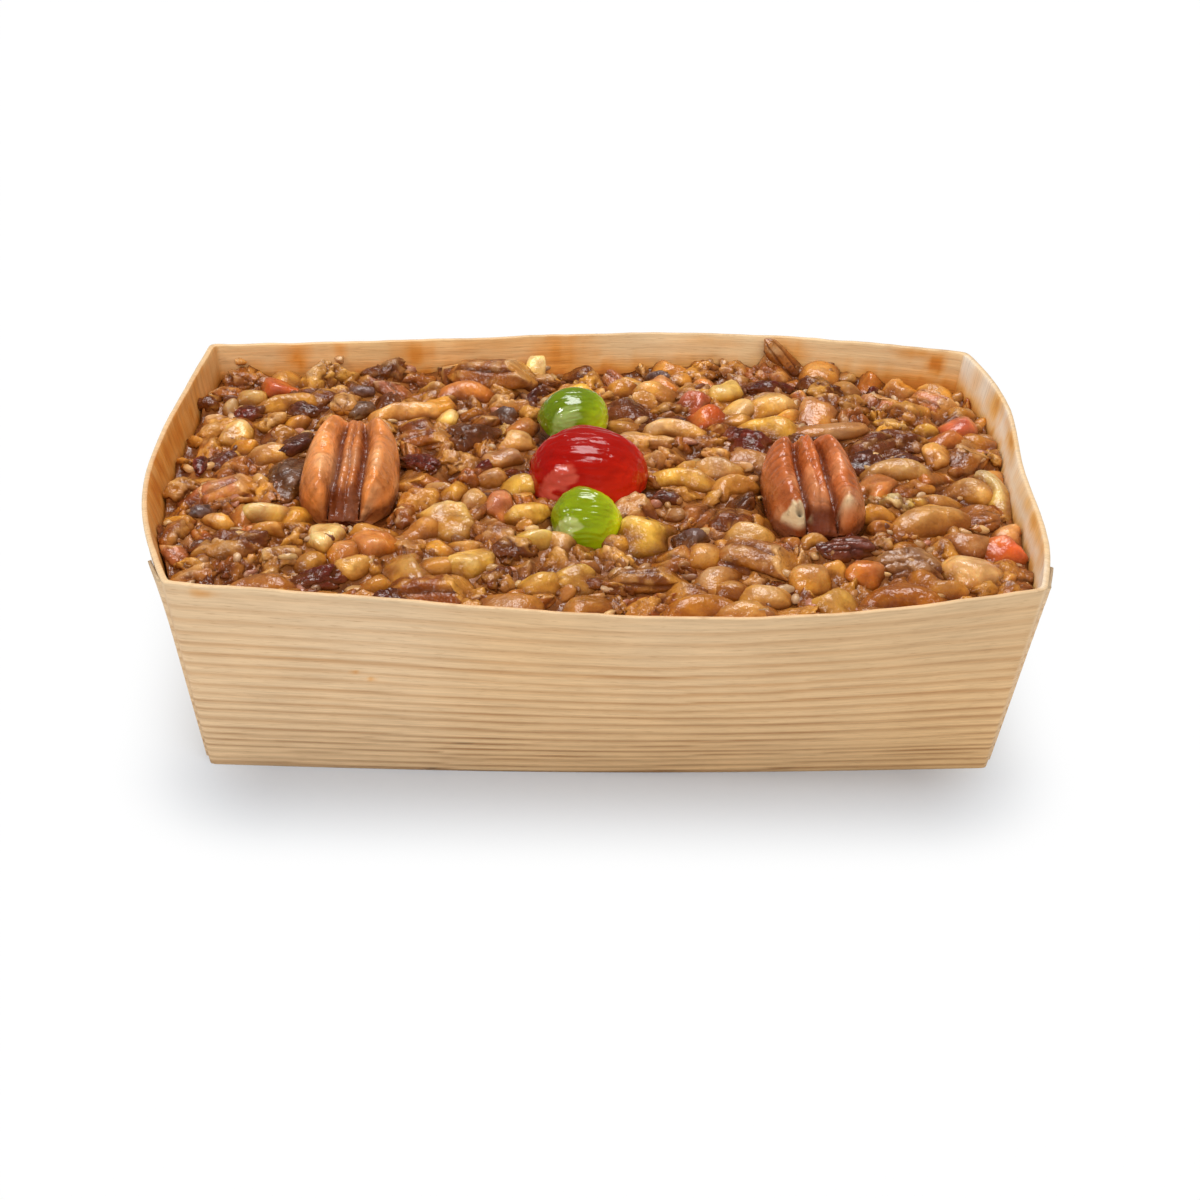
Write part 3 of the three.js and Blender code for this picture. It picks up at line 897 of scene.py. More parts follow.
@dataclass
class VeneerCase:
    """The case's shell and its four glued corner tabs, with grain, relief and stains.

    Attributes:
        plan: the case's plan.
        grain: its growth lines.
        shift: into the frame.
        finish: its material.
        step: between the shell's points along a wall, in mm.
        outer_rows: rows of points up the outer face.
        inner_rows: rows of points down the inner face.
        groove: depth of a growth line, in mm.
        tab_length: of a tab at the rim, in mm.
        tab_length_at_base: of a tab at the base, in mm.
        tab_spread: how far a tab's free end stands off at the rim, in mm.
        tab_thickness: of a tab, in mm.
        tab_groove: depth of a growth line in a tab, in mm.
        cut_front: share of the height by which a front tab is cut short.
        cut_behind: the same for a back tab.
        tab_root: where a tab starts, as a share of its length.
        tab_bite: how deep a tab's root lies in the wall, in mm.
    """

    plan: CasePlan
    grain: Grain
    shift: Array
    finish: bpy.types.Material
    step: float = 0.8
    outer_rows: int = 88
    inner_rows: int = 46
    groove: float = 0.08
    tab_length: float = 11.0
    tab_length_at_base: float = 7.0
    tab_spread: float = 0.25
    tab_thickness: float = 0.6
    tab_groove: float = 0.04
    cut_front: float = 0.03
    cut_behind: float = 0.1
    tab_root: float = 0.04
    tab_bite: float = 0.15

    def tint(self, wall: Wall, along: Array, level: Array, lines: Array, outside: bool) -> Array:
        """Colour of the wood and how much syrup is in it.

        Bare wood goes from pale to golden to the right and downwards, and each growth line
        darkens it. Stains are ovals with torn edges, and inside a tide of syrup climbs to
        just under the rim. Painted shade and light: the outer face is darker to the right,
        where it turns from the light, and a little darker towards the top; inside, the right
        end wall is painted pale near the rim, as light falls on it, and the left end wall
        darker, as shade.

        Args:
            wall: the wall.
            along: share of its length.
            level: share of its height.
            lines: how dark the growth line is there.
            outside: whether this is the outer face.

        Returns:
            Linear colours and the syrup's share, (..., 4).
        """
        length = self.plan.wall_length(wall)
        place = flat_points(along * length, level * self.plan.height, 40.0 * len(wall.name))
        cloud = lattice_noise(place, 26.0, 11)
        warm = np.clip(0.2 + 0.45 * along + 0.4 * (1.0 - level) + 0.22 * cloud, 0.0, 1.0)[..., None]
        wood = blend(colour(231, 201, 163), colour(228, 185, 130), warm)
        weight = blend(1.0, 0.4, smooth(0.45, 0.95, level)) if wall.is_long else 0.6
        shade = blend(colour(170, 136, 98), colour(206, 176, 140), smooth(0.1, 0.6, level)[..., None])
        wood = wood * blend(1.0, shade, (lines * weight)[..., None])
        broken = lattice_noise(flat_points(along * length / 5.0, level * 30.0), 1.0, 15)
        crack = smooth(0.72, 0.8, lines) * smooth(0.45, 0.1, level) * smooth(0.1, 0.5, broken)
        wood = wood * (1.0 - 0.5 * crack)[..., None]
        wood = blend(wood, colour(230, 200, 158), 0.35 * smooth(0.93, 1.0, level)[..., None])
        if outside:
            # Painted shade: the outer face is darker to the right, where it turns from the light, and a
            # little darker towards the top.
            wood = wood * (1.0 - 0.1 * smooth(0.4, 1.0, along) * smooth(0.35, 0.7, level))[..., None]
            wood = wood * (1.0 - 0.05 * smooth(0.6, 1.0, level))[..., None]
        syrup = np.zeros(np.shape(along + level))
        torn = 0.6 * layered_noise(place, 4.5, 23) + 0.6 * layered_noise(place * [1.0, 0.25, 1.0], 1.6, 24)
        for stain in STAINS:
            if stain.wall is wall and stain.outside is outside:
                across = (along - stain.along) * length / stain.length
                up = (level - stain.level) * self.plan.height / stain.height
                reach = 1.0 - np.sqrt(across**2 + up**2) + 0.45 * torn
                syrup = np.maximum(syrup, stain.strength * smooth(-0.4, 1.1, reach))
        if not outside:
            syrup = np.maximum(syrup, 0.9 * smooth(0.94, 0.8, level + 0.035 * torn))
            # Painted light: the right end wall's inner face is painted pale near the rim, as light from
            # the left falls on it.
            if wall is Wall.RIGHT:
                wood = blend(wood, colour(252, 240, 220), 0.9 * smooth(0.75, 0.85, level)[..., None])
            else:
                right = smooth(0.44, 0.6, along)[..., None] * (wall is Wall.BACK)
                wood = wood * blend(np.array([1.16, 1.03, 0.8]), np.array([1.12, 1.15, 1.14]), right)
                # Painted shade: the left end wall's inner face is painted darker, as it faces away from
                # the light.
                wood = wood * (0.87 if wall is Wall.LEFT else 1.0)
        share = syrup[..., None]
        wood = blend(wood, wood * colour(248, 202, 122), np.minimum(1.0, 1.3 * share))
        wood = blend(wood, wood * colour(214, 164, 116), 0.7 * smooth(0.65, 0.95, share))
        return np.concatenate([wood, share], axis=-1)

    def stations(self, wall: Wall) -> Array:
        """Shares of a wall's length at its points, in the order that goes round the case.

        Args:
            wall: the wall.

        Returns:
            The shares, from one fold to the next.
        """
        count = int(round(self.plan.wall_length(wall) / self.step))
        along = np.arange(count + 1) / count
        return 1.0 - along if wall in (Wall.BACK, Wall.LEFT) else along

    def wall_pattern(self, wall: Wall, along: Array, level: Array) -> list[Array]:
        """Places along and across the grain: it runs along X, so it climbs the end walls.

        Args:
            wall: the wall.
            along: share of its length.
            level: share of its height.

        Returns:
            Both places, in mm.
        """
        height = level * self.plan.height
        place = (along - 0.5) * self.plan.wall_length(wall)
        if wall.is_long:
            return np.broadcast_arrays(place, self.grain.climb(height) + 60.0 * (wall is Wall.BACK))
        return np.broadcast_arrays(height + 90.0 * (wall is Wall.LEFT), place)

    def shell(self) -> Surface:
        """The folded sheet: outer face up, over the rim, inner face down, both closed below.

        Rings of points round the four walls are stacked in rows. The growth lines are
        grooves in both faces, and each ring is averaged over a short stretch of itself,
        which rounds the folds.

        Returns:
            The closed surface.
        """
        plan = self.plan
        rim_inset = [0.06, 0.25, 0.65, 0.84]
        rim_lift = [-0.12, -0.02, 0.03, 0.03, -0.02, -0.12]
        up = np.linspace(0.0, 1.0, self.outer_rows)
        down = np.linspace(1.0, plan.veneer / plan.height, self.inner_rows)
        level = np.concatenate([up, np.ones(len(rim_inset)), down])[:, None]
        inset = np.concatenate([0.0 * up, rim_inset, np.full(self.inner_rows, plan.veneer)])[:, None]
        lift = np.pad(rim_lift, (self.outer_rows - 1, self.inner_rows - 1))[:, None]
        parts = [self.wall_rows(wall, level, inset, lift) for wall in Wall]
        ring, paint = (np.concatenate(part, axis=1) for part in zip(*parts))
        for _ in range(2):
            ring = (np.roll(ring, 1, axis=1) + 2.0 * ring + np.roll(ring, -1, axis=1)) / 4.0
        ring[0, :, 2] = 0.0
        shares = [0.97, 0.6, 0.25]
        base = [ring[0] * [share, share, 1.0] for share in shares[::-1]]
        bed = [ring[-1] * [share, share, 1.0] for share in shares]
        stack = np.concatenate([np.stack(base), ring, np.stack(bed)])
        poles = np.array([[0.0, 0.0, 0.0], [0.0, 0.0, plan.veneer]])
        points = np.concatenate([stack.reshape(-1, 3), poles]) + self.shift
        more = len(shares)
        paint = np.pad(paint, ((more, more), (0, 0), (0, 0)), "edge").reshape(-1, 4)
        paint = np.concatenate([paint, np.tile(np.append(PLAIN_WOOD, 0.0), (2, 1))])
        quads, triangles = loft_faces(len(stack), ring.shape[1])
        surface = Surface(points, quads, triangles, {"tint": paint[:, :3], "syrup": paint[:, 3]})
        pattern = self.shell_uv(np.pad(level[:, 0], more)[:, None])
        surface.corner_uv = np.concatenate([pattern, np.zeros((3 * len(triangles), 2))])
        return surface

    def wall_rows(self, wall: Wall, level: Array, inset: Array, lift: Array) -> tuple[Array, Array]:
        """One wall's part of every row of the shell.

        Args:
            wall: the wall.
            level: share of its height, (rows, 1).
            inset: distance inside the outer face, (rows, 1).
            lift: small change of height that rounds the rim, (rows, 1).

        Returns:
            Points, and what they are painted with: the tint and the syrup's share.
        """
        plan = self.plan
        along = self.stations(wall)[None, :-1]
        length = plan.wall_length(wall)
        lines = self.grain.lines(*self.wall_pattern(wall, along, level))
        from_fold = np.minimum(along, 1.0 - along) * length
        calm = smooth(0.0, 3.0, from_fold) * smooth(0.0, 0.06, level) * smooth(1.0, 0.95, level)
        is_outer = inset < plan.veneer / 2.0
        depth = self.groove * lines * calm
        warp = 0.22 * lattice_noise(flat_points(along * length / 30.0, level * 2.2, 9.0), 1.0, 31) * calm
        points = plan.on_wall(wall, along, level, inset + np.where(is_outer, depth, -depth) + warp)
        edge = flat_points(along * length, 5.0 * len(wall.name))
        ragged = 0.11 * lattice_noise(edge, 5.0, 37) + 0.1 * lattice_noise(edge, 1.3, 39)
        points[..., 2] += lift + smooth(0.9, 1.0, level) * ragged
        outer, inner = (self.tint(wall, along, level, lines, outside) for outside in (True, False))
        paint = np.where(is_outer[..., None], outer, inner)
        on_edge = (inset > 0.01) & (inset < plan.veneer - 0.01)
        cut = colour(224, 190, 146) * (1.0 + 0.1 * lattice_noise(points, 1.6, 41))[..., None]
        cut = np.concatenate([blend(cut, paint[..., :3], 0.45), paint[..., 3:]], axis=-1)
        return points, np.where(on_edge[..., None], cut, paint)

    def shell_uv(self, level: Array) -> Array:
        """Pattern places of each quad's corners, so that different grain can meet at a fold.

        Args:
            level: share of the height, (rows, 1).

        Returns:
            The places, (corners, 2).
        """
        parts = []
        for wall in Wall:
            grid = np.stack(self.wall_pattern(wall, self.stations(wall)[None, :], level), -1)
            low, high = grid[:-1], grid[1:]
            parts.append(np.stack([low[:, :-1], low[:, 1:], high[:, 1:], high[:, :-1]], axis=2))
        return np.concatenate(parts, axis=1).reshape(-1, 2)

    def tab(self, wall: Wall, front: bool) -> Surface:
        """One tab: the long wall's sheet carried round the fold and glued on the end wall.

        Args:
            wall: the end wall that it lies on.
            front: whether it starts at the front fold.

        Returns:
            The closed strip: a flat ring of points at each level, stacked upwards.
        """
        plan = self.plan
        across = np.linspace(0.0, 1.0, 15)
        rise = np.linspace(0.03, 1.0, 56)[:, None]
        side = np.concatenate([across, [1.008], across[::-1], [-0.008]])[None, :]
        outer = np.concatenate([np.zeros(15), [0.5], np.ones(15), [0.5]])[None, :]
        share = blend(self.tab_root, 1.0, np.clip(side, 0.0, 1.01))
        level = rise * (1.0 - (self.cut_front if front else self.cut_behind) * smooth(0.0, 0.5, share))
        run = share * blend(self.tab_length_at_base, self.tab_length, rise)
        stand = -self.tab_bite + (self.tab_spread + self.tab_bite) * share * level**2
        climb = self.grain.climb(level * plan.height) + 60.0 * (not front)
        lines = self.grain.lines(run - plan.rim_length / 2.0, climb)
        fold = smooth(0.0, 2.2, run)
        proud = outer * self.tab_thickness * fold - 0.3 * (1.0 - fold)
        proud = proud - self.tab_groove * lines * (outer > 0.9)
        along = run / plan.rim_width
        points = plan.on_wall(wall, along if front else 1.0 - along, level, -(stand + proud))
        points[..., 2] += 0.12 * lattice_noise(flat_points(run, 3.0 * level), 2.0, 43) * (rise > 0.97)
        paint = self.tint(Wall.FRONT, np.full_like(run, 0.15), level, lines, True)
        # Painted shade: the face of the tab that lies against the end wall, and its edges, are painted
        # darker.
        paint[..., :3] *= blend(0.9, 1.0, outer)[..., None]
        paint = np.concatenate([paint.reshape(-1, 4), paint[0, :1], paint[-1, :1]])
        stack = np.concatenate([points.reshape(-1, 3), points.mean(axis=1)[[0, -1]]]) + self.shift
        quads, triangles = loft_faces(len(rise), side.shape[1])
        if (wall is Wall.LEFT) != front:
            quads, triangles = quads[:, ::-1], triangles[:, ::-1]
        flat = np.concatenate([np.stack([run, climb], -1).reshape(-1, 2), np.zeros((2, 2))])
        corner_uv = np.concatenate([flat[quads].reshape(-1, 2), flat[triangles].reshape(-1, 2)])
        painted = {"tint": paint[:, :3], "syrup": paint[:, 3]}
        return Surface(stack, quads, triangles, painted, corner_uv)

    def build(self) -> list[bpy.types.Object]:
        """Makes the shell and the tabs.

        Returns:
            Both pieces, in the place of the CAD case.
        """
        tabs = [self.tab(wall, front) for wall in (Wall.LEFT, Wall.RIGHT) for front in (True, False)]
        joined = join(tabs)
        joined.corner_uv = np.concatenate(
            [tab.corner_uv[: 4 * len(tab.quads)] for tab in tabs]
            + [tab.corner_uv[4 * len(tab.quads):] for tab in tabs]
        )
        surfaces = {"case_shell": self.shell(), "case_tabs": joined}
        return [s.piece(name, self.finish, "case", "veneer") for name, s in surfaces.items()]


# ------------------------------------------------------------------ forms of nuts and fruit
@dataclass
class Form:
    """A piece's form before it is sized: points, and how each is to be painted.

    Attributes:
        points: places, (n, 3), long axis along X.
        cavity: 0 on ridges to 1 in grooves.
        flesh: 1 where the piece is broken and shows its pale inside.
    """

    points: Array
    cavity: Array
    flesh: Array


def chunk(unit: Array, normals: Array, random: Random, sharpness: float, pale: int = 0) -> tuple:
    """A lump with flat faces and rounded edges, about a unit ball in size.

    For faces with normals n_k at distances h_k from the middle, a point's distance is
    (sum of max(0, unit . n_k / h_k)^p)^(-1/p), with a ball of radius 1.25 as one more face.
    Four dents take exp(-(1 - unit . d) / w^2) times their depths off it.

    Args:
        unit: directions, (n, 3).
        normals: the faces' normals, (k, 3), of any length.
        random: stream of draws.
        sharpness: p; more makes sharper edges.
        pale: how many of the faces are broken and pale; these look up.

    Returns:
        Distances, and how much each point belongs to a pale face.
    """
    aimed = normals / np.linalg.norm(normals, axis=1, keepdims=True)
    aimed[:pale, 2] = np.abs(aimed[:pale, 2])
    aimed = aimed / random.uniform(0.66, 1.05, (len(normals), 1))
    steep = np.maximum(unit @ aimed.T, 0.0) ** sharpness
    total = steep.sum(axis=1) + 1.25**-sharpness
    centres = random.normal(size=(4, 3))
    centres /= np.linalg.norm(centres, axis=1, keepdims=True)
    spread = random.uniform(0.22, 0.42, 4)
    dents = np.exp((unit @ centres.T - 1.0) / spread**2) @ random.uniform(0.08, 0.3, 4)
    flesh = smooth(0.35, 0.75, steep[:, :pale].sum(axis=1) / total)
    return total ** (-1.0 / sharpness) * (1.0 - dents), flesh


def walnut_form(unit: Array, random: Random) -> Form:
    """A walnut kernel's piece: lobes cut by winding creases where a noise passes zero.

    Args:
        unit: directions, (n, 3).
        random: stream of draws.

    Returns:
        The form.
    """
    seed, off = int(random.integers(1, 90)), random.uniform(0.0, 30.0, 3)
    radius, flesh = chunk(unit, random.normal(size=(7, 3)), random, 16.0, int(random.integers(0, 4)))
    winding = lattice_noise(unit + off, 0.62, seed) + 0.25 * lattice_noise(unit + off, 0.3, seed + 4)
    crease = bell(winding, 0.15) * (1.0 - 0.8 * flesh)
    lobes = lattice_noise(unit + off, 1.0, seed + 1)
    fine = lattice_noise(unit + off, 0.24, seed + 2)
    radius = radius * (1.0 + 0.3 * lobes - 0.36 * crease + 0.12 * fine)
    return Form(unit * radius[:, None], crease, flesh)


def pecan_form(unit: Array, random: Random) -> Form:
    """A piece of pecan: five swells round a barrel with grooves between, and a cut end.

    Args:
        unit: directions, (n, 3).
        random: stream of draws.

    Returns:
        The form.
    """
    seed = int(random.integers(1, 90))
    angle = np.arctan2(unit[:, 2], unit[:, 1])
    twist = 0.3 * np.sin(1.8 * unit[:, 0] + random.uniform(0, 6))
    grooves = bell(np.sin(2.5 * (angle + twist) + random.uniform(0, 6)), 0.3)
    cross = lattice_noise(flat_points(unit[:, 0] / 0.14, angle / 0.7), 1.0, seed)
    blunt = (1.0 - np.abs(unit[:, 0]) ** 5) ** 0.3
    side = np.maximum(np.hypot(unit[:, 1], unit[:, 2]), 1e-6)
    wide = 1.0 - 0.24 * grooves + 0.04 * cross + 0.14 * lattice_noise(unit, 0.9, seed + 1)
    wide = (blunt * wide / side * np.clip(side * 1.6, 0.0, 1.0))[:, None]
    points = np.concatenate([unit[:, :1], unit[:, 1:] * wide], axis=1)
    cut = random.uniform(0.45, 0.8) + 0.12 * lattice_noise(unit, 0.5, seed + 2)
    flesh = smooth(-0.05, 0.08, points[:, 0] + 0.5 * points[:, 2] - cut)
    points[:, 0] -= np.maximum(points[:, 0] + 0.5 * points[:, 2] - cut, 0.0) * 0.85
    return Form(points, grooves * (1.0 - flesh), flesh)


def cashew_form(unit: Array, random: Random) -> Form:
    """A cashew: a thick tube bent along an arc, fatter at one end, dented.

    Args:
        unit: directions, (n, 3).
        random: stream of draws.

    Returns:
        The form.
    """
    bend = random.uniform(0.9, 1.6)
    seed = int(random.integers(1, 90))
    along = unit[:, 0]
    side = np.maximum(np.hypot(unit[:, 1], unit[:, 2]), 1e-6)
    tube = (1.0 - np.abs(along) ** 2.6) ** 0.5 * (0.42 + 0.08 * along)
    tube = tube * (1.0 + 0.16 * lattice_noise(unit, 0.75, seed) + 0.05 * lattice_noise(unit, 0.3, seed))
    out, up = unit[:, 1] / side * tube, unit[:, 2] / side * tube
    angle, radius = bend * along, 1.0 / bend
    x = (radius + out) * np.sin(angle)
    y = (radius + out) * np.cos(angle) - radius
    points = flat_points(x, y, up * 1.1)
    flesh = smooth(0.2, 0.7, lattice_noise(unit, 0.8, seed + 3)) * 0.6
    return Form(points, bell(along - 0.2, 0.1) * 0.15, flesh)


def round_nut_form(unit: Array, random: Random) -> Form:
    """A macadamia, hazelnut or peanut: a soft, dented lump, sometimes split flat.

    Args:
        unit: directions, (n, 3).
        random: stream of draws.

    Returns:
        The form.
    """
    seed = int(random.integers(1, 90))
    sides = random.normal(size=(6, 3))
    radius, flesh = chunk(unit, sides, random, 9.0, int(random.random() < 0.6))
    soft = lattice_noise(unit, 0.8, seed)
    seam = bell(unit[:, 1] - 0.2 * soft, 0.05) * float(random.random() < 0.35)
    radius = radius * (1.0 + 0.12 * soft + 0.08 * lattice_noise(unit, 0.35, seed + 1) - 0.05 * seam)
    return Form(unit * radius[:, None], seam * 0.6, flesh)


def dice_form(unit: Array, random: Random) -> Form:
    """A candied dice: six faces near a box's and one cut corner, softened by syrup.

    Args:
        unit: directions, (n, 3).
        random: stream of draws.

    Returns:
        The form.
    """
    seed = int(random.integers(1, 90))
    box = np.concatenate([np.eye(3), -np.eye(3), random.normal(size=(2, 3))])
    radius, _ = chunk(unit, box + 0.26 * random.normal(size=box.shape), random, 8.5)
    soft = lattice_noise(unit, 0.7, seed)
    points = unit * (radius * (1.0 + 0.09 * soft))[:, None]
    return Form(points, np.zeros(len(unit)), 0.4 * smooth(0.0, 0.8, lattice_noise(unit, 0.6, seed + 1)))


def raisin_form(unit: Array, random: Random) -> Form:
    """A raisin or prune: deep folds run along it, where a stretched noise passes zero.

    Args:
        unit: directions, (n, 3).
        random: stream of draws.

    Returns:
        The form.
    """
    seed = int(random.integers(1, 90))
    radius, _ = chunk(unit, random.normal(size=(6, 3)), random, 4.0)
    stretched = unit * np.array([0.5, 1.0, 1.0])
    crease = bell(lattice_noise(stretched, 0.4, seed), 0.2)
    fine = bell(lattice_noise(stretched, 0.17, seed + 1), 0.25)
    soft = lattice_noise(unit, 0.9, seed + 2)
    radius = radius * (1.0 + 0.16 * soft - 0.2 * crease - 0.07 * fine)
    return Form(unit * radius[:, None], np.clip(crease + 0.3 * fine, 0.0, 1.0), np.zeros(len(unit)))


def sliver_form(unit: Array, random: Random) -> Form:
    """An almond sliver or slice: long, flat and slightly bent, with squared ends.

    Args:
        unit: directions, (n, 3).
        random: stream of draws.

    Returns:
        The form.
    """
    seed = int(random.integers(1, 90))
    points = np.sign(unit) * np.abs(unit) ** np.array([0.75, 0.7, 0.8])
    points[:, 2] += 0.2 * random.uniform(-1, 1) * points[:, 0] ** 2
    points[:, 1] += 0.25 * random.uniform(-1, 1) * points[:, 0] ** 2
    points = points * (1.0 + 0.1 * lattice_noise(unit, 0.6, seed))[:, None]
    return Form(points, np.zeros(len(unit)), np.full(len(unit), 0.25))


def bit_form(unit: Array, random: Random) -> Form:
    """A bit of chopped nut: a few flat faces, one of them pale.

    Args:
        unit: directions, (n, 3).
        random: stream of draws.

    Returns:
        The form.
    """
    radius, flesh = chunk(unit, random.normal(size=(6, 3)), random, 8.0, 1)
    return Form(unit * radius[:, None], np.zeros(len(unit)), flesh)


class Kind(Enum):
    """What a piece in the top is."""

    WALNUT = "walnut_pieces"
    PECAN = "pecan_pieces"
    CASHEW = "cashews"
    ROUND_NUT = "round_nuts"
    DICE = "candied_dice"
    RAISIN = "raisins"
    SLIVER = "almond_slivers"
    CRUMB = "nut_bits"


FORMS: dict[Kind, Callable[[Array, Random], Form]] = {
    Kind.WALNUT: walnut_form,
    Kind.PECAN: pecan_form,
    Kind.CASHEW: cashew_form,
    Kind.ROUND_NUT: round_nut_form,
    Kind.DICE: dice_form,
    Kind.RAISIN: raisin_form,
    Kind.SLIVER: sliver_form,
    Kind.CRUMB: bit_form,
}

# What a film of syrup leaves of red, green and blue light.
SYRUP_FILTER = np.array([0.98, 0.735, 0.3])

# Height of a piece as a share of its width.
THICKNESS = {
    Kind.WALNUT: 0.8, Kind.PECAN: 0.7, Kind.CASHEW: 0.95, Kind.ROUND_NUT: 0.9,
    Kind.DICE: 0.85, Kind.RAISIN: 0.7, Kind.SLIVER: 0.6, Kind.CRUMB: 0.8,
}


@dataclass(frozen=True)
class Lump:
    """One nut or fruit piece in the top: what it is, where it lies, its size and colour.

    Attributes:
        kind: what it is.
        x: its middle along the case, in mm.
        y: its middle across the case, in mm.
        length: in mm.
        width: in mm.
        turn: of its length from +X about +Z, in degrees.
        tone: its colour.
        rise: how much higher than its neighbours it stands, in mm.
        lean: of its far end down, in degrees.
    """

    kind: Kind
    x: float
    y: float
    length: float
    width: float
    turn: float
    tone: Tone
    rise: float = 0.0
    lean: float = 0.0


W, P, C, N = Kind.WALNUT, Kind.PECAN, Kind.CASHEW, Kind.ROUND_NUT
D, R, S = Kind.DICE, Kind.RAISIN, Kind.SLIVER
